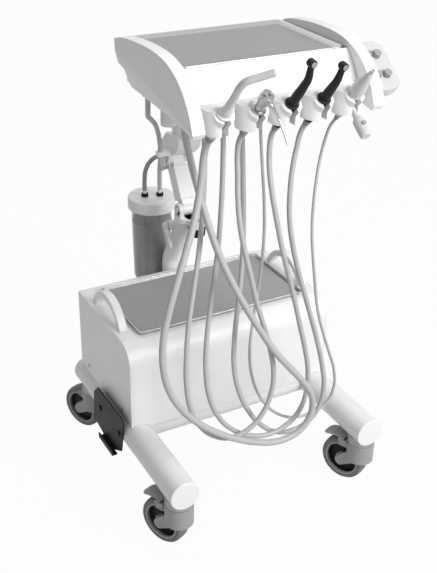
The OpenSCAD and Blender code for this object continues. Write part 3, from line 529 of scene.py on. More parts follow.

# %% [markdown]
# ## From a route to a hose
# A Bezier spline with automatic handles runs smoothly through the points. Without a bevel it gives the
# centre line, which finds the lowest point, and with one it gives the tube. An instrument's hose could be
# one mesh, but the sides of its loop hang close together, and a blend between bodies looks only at where a
# point is. So the hose is parted at its lowest point: one length rides with the instrument, the other
# runs from the head to it, and both stay round when the instrument is drawn.

# %% Hose helpers
TUBE_SIDES = 4
HOSE_STEPS = 6
LOOP_MARGIN = 40
HOSE_CRISP = 60


def bezier(places, steps):
    """A curve object that runs smoothly through the places."""
    curve = bpy.data.curves.new("line", "CURVE")
    curve.dimensions = "3D"
    curve.resolution_u = steps
    spline = curve.splines.new("BEZIER")
    spline.bezier_points.add(len(places) - 1)
    for knot, place in zip(spline.bezier_points, places):
        knot.co = place
        knot.handle_left_type = knot.handle_right_type = "AUTO"
    return added("line", curve)


def outward(form):
    """The form with every face turned to the outside."""
    bmesh.ops.recalc_face_normals(form, faces=form.faces)
    return form


def filled(form):
    """The form with its open rims closed."""
    rim = [e for e in form.edges if e.is_boundary]
    bmesh.ops.holes_fill(form, edges=rim, sides=0)
    return outward(form)


def tube_form(line, radius, sides, weld):
    """The curve as a closed tube. The curve itself goes."""
    line.data.bevel_depth = radius
    line.data.bevel_resolution = sides
    line.data.use_fill_caps = True
    bpy.context.view_layer.update()
    form = bmesh.new()
    form.from_mesh(bpy.data.meshes.new_from_object(line))
    bpy.data.objects.remove(line)
    bmesh.ops.remove_doubles(form, verts=form.verts, dist=weld)
    return outward(form)


def kept_rings(form, centre, first, last):
    """A copy of the tube with only the rings from one centre point to another."""
    finder = kdtree.KDTree(len(centre))
    for i, place in enumerate(centre):
        finder.insert(place, i)
    finder.balance()
    part = form.copy()
    outside = [v for v in part.verts if not first <= finder.find(v.co)[1] <= last]
    bmesh.ops.delete(part, geom=outside, context="VERTS")
    return filled(part)


def declare(name, form, width, node, slot, bend=None, body=None):
    """Makes a length of hose a piece."""
    tube = as_piece(name, form, slot, body, stands_for=[node], crisp=HOSE_CRISP, scale=1,
                    even_flats=False)
    if bend:
        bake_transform(tube)
    width * MM


def hose(name, route, width, node, slot="hose_rubber", bend=None, body=None, tool=None):
    """A free hose along its route. With a tool it hangs from the head and ends on that instrument."""
    line = bezier([Vector(place) * MM for place in route], HOSE_STEPS)
    bpy.context.view_layer.update()
    centre = [v.co.copy() for v in bpy.data.meshes.new_from_object(line).vertices]
    form = tube_form(line, width / 2 * MM, TUBE_SIDES, weld=1e-6)
    if not tool:
        declare(name, form, width, node, slot, bend, body)
        return
    low = min(range(len(centre)), key=lambda i: centre[i].z)
    drop, rise = kept_rings(form, centre, 0, low), kept_rings(form, centre, low, len(centre))
    form.free()
    declare(name, drop, width, node, slot, body=tool)
    above_low = (0, 0, centre[low].z / MM + LOOP_MARGIN)
    declare(name + "_rise", rise, width, node, slot,
            bend=("head", tool, (0, 0, PORT_Z), above_low))


print("hose helpers ready")

# %% Hoses
INSTRUMENTS = [
    # hose, route, width, node and the body of its instrument
    ("suction_tube", SUCTION_ROUTE, 13, "suction_hose", "suction_tool"),
    ("syringe_tube", SYRINGE_ROUTE, 10, "handpiece_hoses", "syringe_tool"),
    ("handpiece_left_tube", LEFT_ROUTE, 10, "handpiece_hoses", "handpiece_left_tool"),
    ("handpiece_right_tube", RIGHT_ROUTE, 10, "handpiece_hoses", "handpiece_right_tool"),
    ("curing_light_lead", LIGHT_ROUTE, 6, "light_cord", "curing_light_tool"),
]
for i, (name, middle, width, node, tool) in enumerate(INSTRUMENTS):
    hose(name, loop(i, middle), width, node, tool=tool)

hose("vacuum_tube", VACUUM_ROUTE, 10, "vacuum_hose", slot="hose_dark", body="root")
for name, route, node, first, second in (
    ("jar_tube_low", JAR_LOW_ROUTE, "jar_hose_arm", "root", "arm"),
    ("jar_tube_high", JAR_HIGH_ROUTE, "jar_hose_arm", "arm", "bracket"),
    ("jar_tube_head", JAR_HEAD_ROUTE, "jar_hose_head", "bracket", "head"),
):
    hose(name, route, 10, node, bend=(first, second, route[0], route[-1]))

# %% [markdown]
# ## Turned and swept forms
# Most fittings on such a unit come off a lathe: wheels, knobs, collars, caps. Their forms are one profile
# spun round an axis. Handpieces and nozzles are rods that bend and taper, so a curve with a radius at each
# knot draws them. Sculpting could give the same forms, but a profile holds the sizes of the real part.

# %% Form helpers
SPIN_STEPS = 48
ROD_STEPS = 8


def turned(profile, steps=SPIN_STEPS):
    """A solid of revolution about Z from (radius, height) corners."""
    form = bmesh.new()
    corners = [form.verts.new((radius, 0, height)) for radius, height in profile]
    edges = [form.edges.new(pair) for pair in zip(corners, corners[1:])]
    bmesh.ops.spin(form, geom=corners + edges, cent=(0, 0, 0), axis=(0, 0, 1), angle=math.tau,
                   steps=steps, use_merge=True)
    bmesh.ops.remove_doubles(form, verts=form.verts, dist=1e-4)
    return outward(form)


def swept(knots, sides=5):
    """A round rod through knots of (place, radius), with closed ends."""
    line = bezier([place for place, radius in knots], ROD_STEPS)
    for knot, (place, radius) in zip(line.data.splines[0].bezier_points, knots):
        knot.radius = radius
    return tube_form(line, 1, sides, weld=1e-5)


def placed(form, *moves):
    """The form after the moves, the last move first, as matrices multiply."""
    matrix = Matrix()
    for move in moves:
        matrix = matrix @ move
    bmesh.ops.transform(form, matrix=matrix, verts=form.verts)
    return form


def joined(first, *others):
    """Several forms as one."""
    for other in others:
        mesh = bpy.data.meshes.new("part")
        other.to_mesh(mesh)
        other.free()
        first.from_mesh(mesh)
        bpy.data.meshes.remove(mesh)
    return first


def rounded(form, where, radius, segments, affect="EDGES"):
    """Rounds some edges, or some corners when affect is VERTICES."""
    bmesh.ops.bevel(form, geom=where, offset=radius, offset_type="OFFSET", segments=segments,
                    profile=0.5, affect=affect, clamp_overlap=True, material=-1)
    return form


def brick(low, high, radius=1.0):
    """A block between two corners with rounded edges."""
    form = bmesh.new()
    bmesh.ops.create_cube(form, size=1)
    size = Vector(high) - Vector(low)
    bmesh.ops.scale(form, vec=size, verts=form.verts)
    bmesh.ops.translate(form, vec=(Vector(low) + Vector(high)) / 2, verts=form.verts)
    return rounded(form, form.edges[:], radius, 3)


def box_mm(node):
    """Lowest and highest corner of a node, in millimetres."""
    low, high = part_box(node)
    return Vector(low) / MM, Vector(high) / MM


shift = Matrix.Translation
ALONG_X = Matrix.Rotation(math.pi / 2, 4, "Y")
print("form helpers ready")

# %% [markdown]
# ## Trays and their mats
# Both trays are drawn from thin stainless sheet: a rolled lip, a wall that leans inward, a small fillet
# and a flat floor. The mats are moulded rubber with a fine pebble. A profile could be swept round, but
# one flat face with rounded corners, inset again and again, is drawn as a press draws the sheet.

# %% Trays
TRAY_SHEET = 1.5
SEEN_SHEET = 0.9
LIP = 2.2
LIP_ROUND = 0.5
LIP_WIDTH = 1.2
FILLET_IN, FILLET_DOWN = 1.5, 1.8
CORNER_STEPS = 7
TRAY_CRISP = 50


def flat_sheet(low, high, height):
    """One flat face between two (x, y) corners."""
    form = bmesh.new()
    bmesh.ops.create_grid(form, x_segments=1, y_segments=1, size=1)
    half = max(v.co.x for v in form.verts)
    size = ((high[0] - low[0]) / 2 / half, (high[1] - low[1]) / 2 / half, 1)
    middle = ((low[0] + high[0]) / 2, (low[1] + high[1]) / 2, height)
    bmesh.ops.scale(form, vec=size, verts=form.verts)
    bmesh.ops.translate(form, vec=middle, verts=form.verts)
    return form


def pressed(form, steps):
    """Insets the one flat face of a sheet by each (inward, upward) in turn."""
    form.faces.ensure_lookup_table()
    face = max(form.faces, key=lambda f: f.calc_area())
    for inward, upward in steps:
        bmesh.ops.inset_individual(form, faces=[face], thickness=inward, depth=upward, use_even_offset=True)
    return form


def tray(node, slope, corner):
    low, high = box_mm(node)
    depth = high.z - low.z - TRAY_SHEET
    wall = 2.3 - depth
    form = flat_sheet(low, high, high.z - LIP)
    rounded(form, form.verts[:], corner, CORNER_STEPS, "VERTICES")
    pressed(form, [
        # up the outside, round over the lip, down again, down the wall, round the fillet
        (0.02, LIP - LIP_ROUND), (LIP_ROUND, LIP_ROUND), (LIP_WIDTH, 0), (LIP_ROUND, -LIP_ROUND),
        (slope, wall), (FILLET_IN, -FILLET_DOWN),
    ])
    bmesh.ops.solidify(form, geom=form.faces[:], thickness=SEEN_SHEET)
    stand_in(node + "_pressed", outward(form), node, crisp=TRAY_CRISP)


def mat(node, trim, corner):
    low, high = box_mm(node)
    edge = Vector((trim, trim, 0))
    form = flat_sheet(low + edge, high - edge, low.z + 0.05)
    rounded(form, form.verts[:], corner, CORNER_STEPS, "VERTICES")
    pressed(form, [(0.02, high.z - low.z - 0.65), (0.25, 0.35), (0.5, 0.25)])
    stand_in(node + "_moulded", filled(form), node, crisp=TRAY_CRISP)


tray("base_tray", slope=1.6, corner=10)
tray("head_tray", slope=6.0, corner=13)
mat("base_tray_mat", trim=2.2, corner=7)
mat("head_tray_mat", trim=0.3, corner=7)
print("two trays, two mats")

# %% [markdown]
# ## Castor wheels
# Each castor is a grey nylon hood over a wheel of 100 mm. The wheel has a soft tread, a grey rim and a
# near-black web with a hub; the web's black is partly its plastic and partly painted shade of the recess.
# Four short profiles make each wheel, and each part gets its own finish without any painted image.

# %% Wheels
CASTOR_TURN = math.radians(24)
TRAIL = 35
WHEEL_R = 50
CASTORS = {
    # x and y of each castor's stem
    "fl": (-216, -261), "fr": (216, -261), "rl": (-216, 169), "rr": (216, 169),
}
TREAD = [(39.2, -14.6), (43.5, -15.6), (46.5, -15), (48.8, -12), (49.8, -7), (50, 0), (49.8, 7), (48.8, 12),
         (46.5, 15), (43.5, 15.6), (39.2, 14.6), (39.2, -14.6)]
RIM = [(35.5, -14.2), (37, -15), (39.2, -14.8), (39.2, 14.8), (37, 15), (35.5, 14.2), (35.5, -14.2)]
WEB = [(13, -8), (16, -6.6), (33, -4.5), (35.6, -9), (35.6, 9), (33, 4.5), (16, 6.6), (13, 8), (13, -8)]
HUB = [(5.3, -17), (12, -17), (13.6, -15.6), (14, -8), (14, 8), (13.6, 15.6), (12, 17), (5.3, 17),
       (5.3, -17)]
WHEEL_STEPS = 64


def at_castor(key):
    x, y = CASTORS[key]
    return shift((x, y, 0)) @ Matrix.Rotation(CASTOR_TURN, 4, "Z")


for key in CASTORS:
    node = "castor_wheel_" + key
    axle = at_castor(key) @ shift((0, TRAIL, WHEEL_R)) @ ALONG_X
    # the web's near-black is partly its black plastic and partly painted shade of the recess inside the rim
    for part, profile, slot in (("tread", TREAD, "wheel_rubber"), ("rim", RIM, "castor_plastic"),
                                ("web", WEB, "black_plastic"), ("hub", HUB, "castor_plastic")):
        stand_in(f"{part}_{key}", placed(turned(profile, WHEEL_STEPS), axle), node, slot)
print("wheels:", len(CASTORS))

# %% [markdown]
# ## Brake pedals
# A pedal is a broad tongue of nylon that bows down to its rounded tip, with two ears on the hood's pin. A
# subdivision surface would soften it, but it would also lose the sharp rim. So a flat sheet is rounded,
# cut into strips, bowed by a cubic rule and given its thickness.

# %% Brake pedals
PEDAL_ROOT = (31, 103.5)
PEDAL_SIZE = (34, 54, 3.5)
PEDAL_DROP = 10
PEDAL_CURL = 1.6
PEDAL_TIP, PEDAL_RIM = 13, 0.9
PEDAL_BAR = 11
PEDAL_EAR = (23.5, 26.5)
PEDAL_AXIS = (26, 97)
TONGUE_STRIPS = 12


def tongue(width, length, thick, root_y, root_z):
    """The bowed blade of a pedal, with its lowest root edge at the root."""
    form = flat_sheet((-width / 2, 0), (width / 2, length), 0)
    tip = [v for v in form.verts if v.co.y > length / 2]
    rounded(form, tip, PEDAL_TIP, 8, "VERTICES")
    for strip in range(1, TONGUE_STRIPS):
        everything = form.verts[:] + form.edges[:] + form.faces[:]
        cut = (0, length * strip / TONGUE_STRIPS, 0)
        bmesh.ops.bisect_plane(form, geom=everything, plane_co=cut, plane_no=(0, 1, 0))
    for v in form.verts:
        run = v.co.y / length
        v.co.z = -PEDAL_DROP * run ** 3 + PEDAL_CURL * (v.co.x / (width / 2)) ** 2 * run
    bmesh.ops.translate(form, vec=(0, root_y, root_z), verts=form.verts)
    bmesh.ops.solidify(form, geom=form.faces[:], thickness=thick)
    low = min(v.co.z for v in form.verts if v.co.y < root_y + 0.1)
    bmesh.ops.translate(form, vec=(0, 0, root_z - low), verts=form.verts)
    outward(form)
    rim = [e for e in form.edges if e.is_manifold and e.calc_face_angle(0) > math.radians(60)]
    return rounded(form, rim, PEDAL_RIM, 3)


def pedal(key, node):
    width, length, thick = PEDAL_SIZE
    root_y, root_z = PEDAL_ROOT
    inner, outer = PEDAL_EAR
    axis_y, axis_z = PEDAL_AXIS
    blade = tongue(width, length, thick, root_y, root_z)
    bar = brick((-outer, root_y, root_z), (outer, root_y + PEDAL_BAR, root_z + thick), 1.0)
    ears = [brick((min(side * inner, side * outer), axis_y - 5, axis_z - 5),
                  (max(side * inner, side * outer), axis_y + 13, root_z + thick), 1.2) for side in (-1, 1)]
    stand_in(node + "_moulded", placed(joined(blade, bar, *ears), at_castor(key)), node)


pedal("fl", "brake_pedal_left")
pedal("fr", "brake_pedal_right")
print("brake pedals: 2")

# %% [markdown]
# ## Instruments
# Each instrument stands in its own leaning frame, so its forms are drawn upright and tilted once. The
# black handpieces and the suction handpiece are swept rods that bend near the top, the syringe is turned
# from plated brass, and the curing light is a moulded pistol whose grip comes out through the slot.

# %% Instrument helpers
HOLDER_Y, HOLDER_Z = -238, 862
FLANGE = 14.3
TAIL_END = -50
TAIL = [(0, TAIL_END), (6.6, TAIL_END), (7, -49), (7, -41), (8.2, -39.5), (8.5, -38)]
HEAD_TILT = math.radians(60)
DRUM = [(0, -7.4), (5.2, -7.4), (6.6, -6.6), (7.4, -5), (7.4, 4.6), (6.8, 6.2), (5.6, 7), (0, 7)]
BUTTON = [(0, 6.9), (4.7, 6.9), (4.9, 7.5), (4.4, 8.2), (0, 8.4)]
CHUCK = [(0, -7.3), (2.6, -7.3), (2.4, -8.4), (1.1, -8.5), (1.1, -8), (0, -8)]


def at_holder(i):
    place = shift(((i - 2) * HOLDER_PITCH, HOLDER_Y, HOLDER_Z))
    return place @ Matrix.Rotation(TAIL_TILT, 4, "X")


def collar(inner, outer):
    """The flange by which an instrument hangs in its holder."""
    z = FLANGE + 0.3
    return turned([(inner, z), (outer - 0.4, z), (outer, z + 0.5), (outer, z + 2), (outer - 0.6, z + 2.6),
                   (inner, z + 3.4), (inner, z)])


def instrument(name, node, i, form, slot=None):
    stand_in(name, placed(form, at_holder(i)), node, slot)


def bored(form, tip, wall, depth):
    """Opens the flat end of a rod nearest to tip."""
    end = min(form.faces, key=lambda f: (f.calc_center_median() - Vector(tip)).length)
    bmesh.ops.inset_individual(form, faces=[end], thickness=wall, depth=-depth, use_even_offset=True)
    return form


def handpiece(node, i, elbow, nose):
    bend, nose = Vector((0, 0, elbow)), Vector(nose)
    top = bend + nose
    body = swept([
        ((0, 0, TAIL_END), 6.9), ((0, 0, -46), 7.9), ((0, 0, -20), 8.5), ((0, 0, 14), 8.6),
        ((0, 0, elbow * 0.5), 8.5), ((0, 0, elbow * 0.78), 7.5), (bend + nose * 0.1, 6.7),
        (bend + nose * 0.55, 5.9), (top, 5.4),
    ])
    instrument(node + "_body", node, i, joined(body, collar(8.4, 12.5)))
    head = shift(top) @ Matrix.Rotation(HEAD_TILT, 4, "X")
    for part, profile, slot in (("_head", DRUM, None), ("_cap", BUTTON, "plated_steel"),
                                ("_chuck", CHUCK, "plated_steel")):
        instrument(node + part, node, i, placed(turned(profile), head), slot)


print("holders", HOLDER_PITCH, "mm apart")

# %% Instruments
SUCTION_TIP = (38, -11, 138)
suction = swept([
    ((0, 0, TAIL_END), 8.4), ((0, 0, -45), 9.5), ((0, 0, -30), 10), ((0, 0, 20), 10), ((0, 0, 27), 9.4),
    ((0, 0, 36), 7.3), ((0, 0, 50), 6.8), ((0, 0, 66), 6.6), ((0, 0, 92), 6.5), ((4, -1.2, 107), 6.4),
    ((20, -5.8, 121.6), 6.3), (SUCTION_TIP, 6.2),
])
suction = joined(bored(suction, SUCTION_TIP, wall=1.5, depth=9), collar(9.9, 13.9))
instrument("suction_body", "suction_handpiece", 0, suction)

barrel = turned(TAIL + [
    (8.5, 18), (9, 19), (9, 24), (8.3, 24.8), (8.3, 26.2), (9, 27), (9.2, 35.6), (11.4, 38), (12, 39.4),
    (12, 53.5), (11.4, 55.8), (9.6, 57.2), (0, 57.3),
])
instrument("syringe_body", "syringe", 1, joined(barrel, collar(8.4, 12.9)))
NOZZLE_TIP = (13, -82, 31)
nozzle = swept([
    ((0, -8, 48), 5), ((1.2, -13, 49.2), 4.8), ((1.9, -16.5, 49.9), 4.4), ((2.6, -20, 50), 2.6),
    ((4.6, -32, 49), 2.2), ((7, -46, 46), 2.1), ((10, -64, 39.4), 2), (NOZZLE_TIP, 1.8),
])
instrument("syringe_nozzle", "syringe", 1, bored(nozzle, NOZZLE_TIP, wall=0.6, depth=3))

handpiece("handpiece_left", 2, elbow=82, nose=(0, 13, 28))
handpiece("handpiece_right", 3, elbow=68, nose=(4, 10, 25))

shell = turned(TAIL + [
    (8.5, 15), (12.4, 16.5), (13, 18), (13, 31), (12.5, 35), (9.4, 54), (6.4, 68), (5.1, 73.3), (4.3, 74),
    (4, 76), (4, 82.6), (3.6, 83.3), (2.7, 83.3), (2.7, 80), (0, 80),
])
instrument("curing_light_shell", "curing_light", 4, joined(shell, collar(8.4, 12.9)))
grip = swept([
    ((0, -4, -8), 5), ((0, -24, -8), 5), ((0, -34, -8), 6.6), ((0, -39.5, -7.9), 10.2), ((0, -45, -7.6), 11),
    ((0, -66, -6.5), 11), ((0, -72, -6.1), 10.2), ((0, -73.9, -6), 8.4),
])
instrument("curing_light_grip", "curing_light", 4, grip)
print("instruments: 5")

# %% [markdown]
# ## Hose boots
# A hose that is pulled and bent all day would crack where it leaves its fitting, so a soft sleeve with
# rings guards both ends. The rings could be separate rings, but one outline that steps in at each of them
# and tapers to the hose is spun in one go.

# %% Hose boots
BOOT = 14
BOOT_WALL = 2.2
BOOT_RINGS = 4
BOOT_STEPS = 32


def boot(name, bore, place, body):
    """A ringed sleeve round a hose, from z = 0 down."""
    outline = [(bore, 0), (bore + BOOT_WALL, 0)]
    for ring in range(BOOT_RINGS):
        start = BOOT * (ring + 0.35) / BOOT_RINGS
        radius = bore + BOOT_WALL * (1 - 0.75 * (ring + 1) / BOOT_RINGS)
        outline += [(radius + 0.5, -start), (radius - 0.2, -start - 0.6), (radius - 0.2, -start - 1.2)]
    outline += [(bore + 0.5, -BOOT), (bore, -BOOT), (bore, 0)]
    as_piece(name, placed(turned(outline, BOOT_STEPS), place), "hose_dark", body)


for i, (name, middle, width, node, tool) in enumerate(INSTRUMENTS):
    tail_end = at_holder(i) @ shift((0, 0, TAIL_END))
    boot(f"tail_boot_{i + 1}", width / 2, tail_end, tool)
    boot(f"port_boot_{i + 1}", width / 2, shift(port(i)), "head")
print("boots:", 2 * len(INSTRUMENTS))

# %% [markdown]
# ## Suction jar
# The jar is a smoky moulding that tapers a little, with a clearer band at its top where two tubes show.
# It hangs under a light lid with two barbs, whose nuts are dark. A thin shell with a real inner wall
# lets the light through twice, as the real jar does.

# %% Jar
JAR_FOOT = Vector((-14, 286, 305))
JAR_H = 186
LID_Z = JAR_H + 13.3
JAR_STEPS = 72
INNER_TUBE = 60
jar_at = shift(JAR_FOOT)
wall = turned([
    (0, 0), (40.5, 0), (42.6, 1), (43, 3), (46.4, 160), (47, 168), (47, JAR_H), (44.6, JAR_H), (44.4, 160),
    (41, 5), (39.5, 3), (0, 3),
], JAR_STEPS)
stand_in("jar_shell", placed(wall, jar_at), "suction_jar", "jar_plastic")
lid = turned([
    (0, LID_Z), (38, LID_Z), (39, LID_Z - 0.8), (50, LID_Z - 0.8), (52.6, LID_Z - 1.8), (53.8, LID_Z - 4),
    (54, LID_Z - 9), (53.2, LID_Z - 10), (53.2, LID_Z - 11), (54, LID_Z - 12), (54, 173), (53, 171),
    (47.4, 171), (47.4, JAR_H + 0.2), (0, JAR_H + 0.2),
], JAR_STEPS)
stand_in("jar_cap", placed(lid, jar_at), "jar_lid")
for number, route in enumerate((VACUUM_ROUTE, JAR_LOW_ROUTE), 1):
    x, y, hose_end = route[0]
    seat = shift((x, y, JAR_FOOT.z + LID_Z))
    barb = turned([(2.5, 0), (5, 0), (5, 6), (4.4, 7), (5, 9), (4.4, 10), (5, 12), (4.4, 13.8), (2.5, 14),
                   (2.5, 0)])
    stand_in(f"jar_barb_{number}", placed(barb, seat), "jar_lid")
    nut = turned([(5.2, 0), (8.4, 0), (8.8, 0.6), (8.8, 6.4), (8.2, 7), (5.2, 7), (5.2, 0)], 6)
    as_piece(f"jar_nut_{number}", placed(nut, seat), "black_plastic", "root")
    inner = turned([(3, -INNER_TUBE), (4.4, -INNER_TUBE), (4.4, -1), (3, -1), (3, -INNER_TUBE)], 24)
    below_lid = shift((x, y, JAR_FOOT.z + JAR_H - 1))
    as_piece(f"jar_inner_tube_{number}", placed(inner, below_lid), "black_plastic", "root")
print("jar: shell, lid, two barbs, two inner tubes")

# %% [markdown]
# ## The mast
# The column is one bent tube with a welded foot, a boss for the clamp lever and a knee plate on top. A
# tube bent on a former keeps its diameter through the bend, so it is swept along a line whose knots lie
# close together on the arc. The plate and the two ears are bricks and turned discs.

# %% Mast column
COLUMN_Y, COLUMN_R = 218, 19
BEND_R, BEND_Z = 60, 358.3
LEAN = math.radians(32)
KNEE_Y, KNEE_Z = 135, 530
PLATE_LOW, PLATE_TOP = 502, 515
NOSE_Y = 90
EAR_IN, EAR_OUT = 14, 24
LEVER_Y, LEVER_Z = 173, 478
FOOT_LOW = box_mm("mast_column")[0].z
FOOT_X, FOOT_FRONT, FOOT_H = 25, 187.3, 34
BOSS_X = -29
ARC_KNOTS = 6


def disc(radius, height, edge):
    """A plate on the plane z = 0 with a small chamfer on both rims."""
    return turned([(0, 0), (radius - edge, 0), (radius, edge), (radius, height - edge),
                   (radius - edge, height), (0, height)])


knots = [((0, COLUMN_Y, z), COLUMN_R) for z in (FOOT_LOW, FOOT_LOW + 60, BEND_Z - 60, BEND_Z - 12)]
for knot in range(ARC_KNOTS + 1):
    turn = LEAN * knot / ARC_KNOTS
    place = (0, COLUMN_Y - BEND_R * (1 - math.cos(turn)), BEND_Z + BEND_R * math.sin(turn))
    knots.append((place, COLUMN_R))
bend_end = Vector(knots[-1][0])
leaning = Vector((0, -math.sin(LEAN), math.cos(LEAN)))
reach = (PLATE_LOW + 2 - bend_end.z) / math.cos(LEAN)
knots += [(bend_end + leaning * reach * share, COLUMN_R) for share in (0.15, 0.6, 1)]
foot = brick((-FOOT_X, FOOT_FRONT, FOOT_LOW), (FOOT_X, COLUMN_Y, FOOT_LOW + FOOT_H), 3)
boss = turned([(0, 0), (10.2, 0), (11, 0.8), (11, 20), (0, 20)])
placed(boss, shift((BOSS_X, LEVER_Y, LEVER_Z)), ALONG_X)
plate_h = PLATE_TOP - PLATE_LOW
plate = placed(disc(28, plate_h, 1.5), shift((0, KNEE_Y, PLATE_LOW)))
nose = brick((-12, NOSE_Y, PLATE_LOW), (12, KNEE_Y, PLATE_TOP), 2)
nose_end = placed(disc(14, plate_h, 1.2), shift((0, NOSE_Y, PLATE_LOW)))
ears = []
for side in (-1, 1):
    inner = min(side * EAR_IN, side * EAR_OUT)
    outer = inner + EAR_OUT - EAR_IN
    eye = disc(14, EAR_OUT - EAR_IN, 1.2)
    ears.append(placed(eye, shift((inner, KNEE_Y, KNEE_Z)), ALONG_X))
    ears.append(brick((inner, KNEE_Y - 14, PLATE_TOP - 1), (outer, KNEE_Y + 14, KNEE_Z), 1.2))
form = joined(swept(knots, sides=10), foot, boss, plate, nose, nose_end, *ears)
stand_in("mast_column_bent", form, "mast_column")
print("mast column swept through", len(knots), "knots")

# %% [markdown]
# ## Knobs
# The control knobs are small fluted caps with a white pointer line, and the tension knob below the mast's
# nose is a larger one. A cone with twice as many sides as flutes is enough: every second side is pushed
# in, which is how the fingers find their grip.

# %% Knobs
CONTROL_AT = shift((232, -166, 890)) @ Matrix.Rotation(math.radians(36.5), 4, "X")
KNOBS = {
    "flow_knob_left": (-11, 21), "flow_knob_right": (10, 21),
    "water_knob_left": (-11, -24), "water_knob_right": (10, -24),
}
KNOB_R, KNOB_H = 8, 9.7
POINTER = 0.6
TENSION_AT = shift((0, NOSE_Y, 501.7)) @ Matrix.Rotation(math.pi, 4, "X")


def fluted(radius, height, flutes, depth):
    """A grip knob standing on the plane z = 0, with flutes round its side."""
    form = bmesh.new()
    bmesh.ops.create_cone(form, cap_ends=True, segments=2 * flutes, radius1=radius, radius2=radius * 0.93,
                          depth=height)
    bmesh.ops.translate(form, vec=(0, 0, height / 2), verts=form.verts)
    around = [f for f in form.faces if len(f.verts) == 4]
    turn = math.tau / (2 * flutes)

    def number(face):
        middle = face.calc_center_median()
        return int(math.atan2(middle.y, middle.x) % math.tau / turn)

    grooves = [f for f in around if number(f) % 2]
    bmesh.ops.inset_individual(form, faces=grooves, thickness=radius * 0.03, depth=-depth)
    top = max(form.faces, key=lambda f: f.calc_center_median().z)
    bmesh.ops.inset_individual(form, faces=[top], thickness=radius * 0.12, depth=radius * 0.08)
    return outward(form)


for node, place in KNOBS.items():
    seat = CONTROL_AT @ shift((*place, 0.3))
    stand_in(node + "_cap", placed(fluted(KNOB_R, KNOB_H - POINTER, flutes=12, depth=0.5), seat), node)
    line = brick((-0.5, 1.5, KNOB_H - POINTER), (0.5, KNOB_R - 1.6, KNOB_H), 0.15)
    as_piece(node + "_pointer", placed(line, seat), "white_plastic", BODY_OF[node])
stand_in("tension_knob_cap", placed(fluted(19, 15, flutes=9, depth=1.2), TENSION_AT), "tension_knob")
print("knobs:", len(KNOBS) + 1)

# %% [markdown]
# ## Hinge caps and hose clip
# The hinge pins at the knee and at the elbow are closed by plated caps with a small hollow, and a clip
# holds the jar's hose on the arm. The clip's ring is turned and then leaned along the hose, by the line
# between the points of the route before and after it, so the hose runs straight through.

# %% Hinge caps and hose clip
PIN_CAP = [(0, 0), (8, 0), (8.4, 0.5), (8.4, 2.2), (7.4, 3), (3.2, 3), (2.8, 2), (0, 2)]
ELBOW_Y, ELBOW_Z = 190.15, 627.48
for hinge, y, z, body in (("knee", KNEE_Y, KNEE_Z, "root"), ("elbow", ELBOW_Y, ELBOW_Z, "bracket")):
    for side, turn in (("right", 1), ("left", -1)):
        aside = Matrix.Rotation(turn * math.pi / 2, 4, "Y")
        cap = placed(turned(PIN_CAP), shift((turn * EAR_OUT, y, z)), aside)
        as_piece(f"{hinge}_cap_{side}", cap, "plated_steel", body)

clip_at = Vector(JAR_LOW_ROUTE[-1])
clip_way = Vector(JAR_HIGH_ROUTE[1]) - Vector(JAR_LOW_ROUTE[-2])
ring = turned([(5.1, -4), (7, -4), (7.2, -3.4), (7.2, 3.4), (7, 4), (5.1, 4), (5.1, -4)])
placed(ring, shift(clip_at), clip_way.to_track_quat("Z", "Y").to_matrix().to_4x4())
strap = brick((-25, clip_at.y - 4, clip_at.z - 5), (-13.7, clip_at.y + 4, clip_at.z + 5), 1.2)
as_piece("arm_hose_clip", joined(ring, strap), "light_plastic", "arm")
print("four caps and a clip")

# %% [markdown]
# ## Rounding the solids
# No edge of a real casting, bent sheet or moulding is perfectly sharp, and the thin line of light along a
# rounded edge is what makes a model look made. A copy of each solid has its loose triangles joined, its
# flat faces dissolved into single ones, and its sharp edges bevelled by the radius that such a part has.

# %% Softened copies of the solids
SHARP = 28
SMALL_STEPS, LARGE_STEPS, LARGE_RADIUS = 2, 4, 2


def softened(node, radius, steps, crisp=CRISP, shape=None):
    """A copy of a solid with its sharp edges rounded, standing for the node."""
    form = bmesh.new()
    form.from_mesh(frame["nodes"][node].data)
    bmesh.ops.remove_doubles(form, verts=form.verts, dist=2e-6)
    bmesh.ops.dissolve_limit(form, angle_limit=math.radians(0.5), verts=form.verts, edges=form.edges)
    if shape:
        shape(form)
    sharp = [e for e in form.edges if e.is_manifold and e.calc_face_angle(0) > math.radians(SHARP)]
    rounded(form, sharp, radius * MM, steps)
    stand_in(node + "_finished", form, node, crisp=crisp, scale=1)


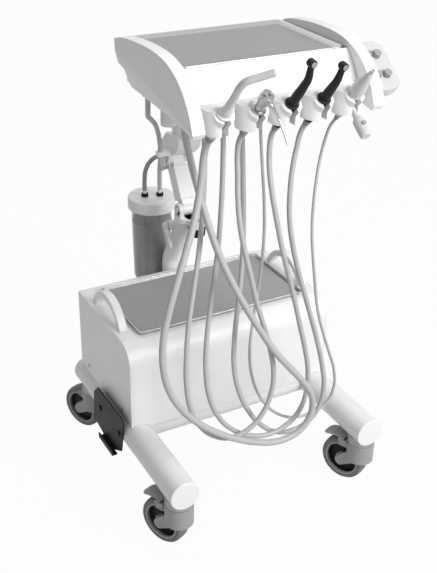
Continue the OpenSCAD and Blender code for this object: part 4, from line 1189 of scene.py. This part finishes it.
EDGES = {
    # radius of the edges, in millimetres, of each solid whose shape stays
    "frame_tubes": 0.6, "tube_end_caps": 0.8, "castor_mounts": 0.8,
    "castor_fork_fl": 1.0, "castor_fork_fr": 1.0, "castor_fork_rl": 1.0, "castor_fork_rr": 1.0,
    "base_chassis": 0.4, "casing_cover": 0.9, "casing_left_panel": 0.8, "casing_right_panel": 0.8,
    "panel_screws": 0.4, "base_handles": 2.5,
    "compressor": 1.0, "air_tank": 0.8, "pedal_hanger": 0.8,
    "clamp_lever": 1.5, "spring_arm": 2.0, "upper_bracket": 1.6,
    "head_support": 1.5, "head_pan": 0.6, "head_front_panel": 0.8,
    "instrument_holders": 1.2, "water_cup": 1.5,
    "control_box": 3.0,
    "air_button": 0.5, "water_button": 0.5, "curing_trigger": 0.5, "jar_bracket": 1.2,
}
for node, radius in EDGES.items():
    softened(node, radius, LARGE_STEPS if radius > LARGE_RADIUS else SMALL_STEPS)
print("softened:", len(EDGES), "solids")

# %% [markdown]
# ## The cheeks
# The outer face of each cheek folds along a line that starts at the back and runs down to the front
# corner. Below the line the face leans inward, so it is a shade darker. The flat outer face is cut along
# the line, and the points below it move inward by their distance from the line.

# %% Cheeks
CREASE_BACK = Vector((0, 54, 910))
CREASE_FRONT = Vector((0, -250, 850))
CREASE_LEAN = 0.28
CHEEK_ROUND, CHEEK_STEPS, CHEEK_CRISP = 6, 5, 40
CHEEKS = ("head_left_cheek", "head_right_cheek")


def creased(form):
    """Leans the outer face inward below the line of the crease."""
    along = (CREASE_FRONT - CREASE_BACK).normalized()
    down = along.cross(Vector((-1, 0, 0)))
    if down.z > 0:
        down.negate()
    everything = form.verts[:] + form.edges[:] + form.faces[:]
    bmesh.ops.bisect_plane(form, geom=everything, plane_co=CREASE_BACK * MM, plane_no=down)
    outside = max(abs(v.co.x) for v in form.verts)
    for v in form.verts:
        below = (v.co - CREASE_BACK * MM).dot(down)
        if below > 0 and abs(v.co.x) > outside - MM:
            v.co.x -= math.copysign(below * CREASE_LEAN, v.co.x)


for node in CHEEKS:
    softened(node, CHEEK_ROUND, CHEEK_STEPS, crisp=CHEEK_CRISP, shape=creased)
print("cheeks:", len(CHEEKS))
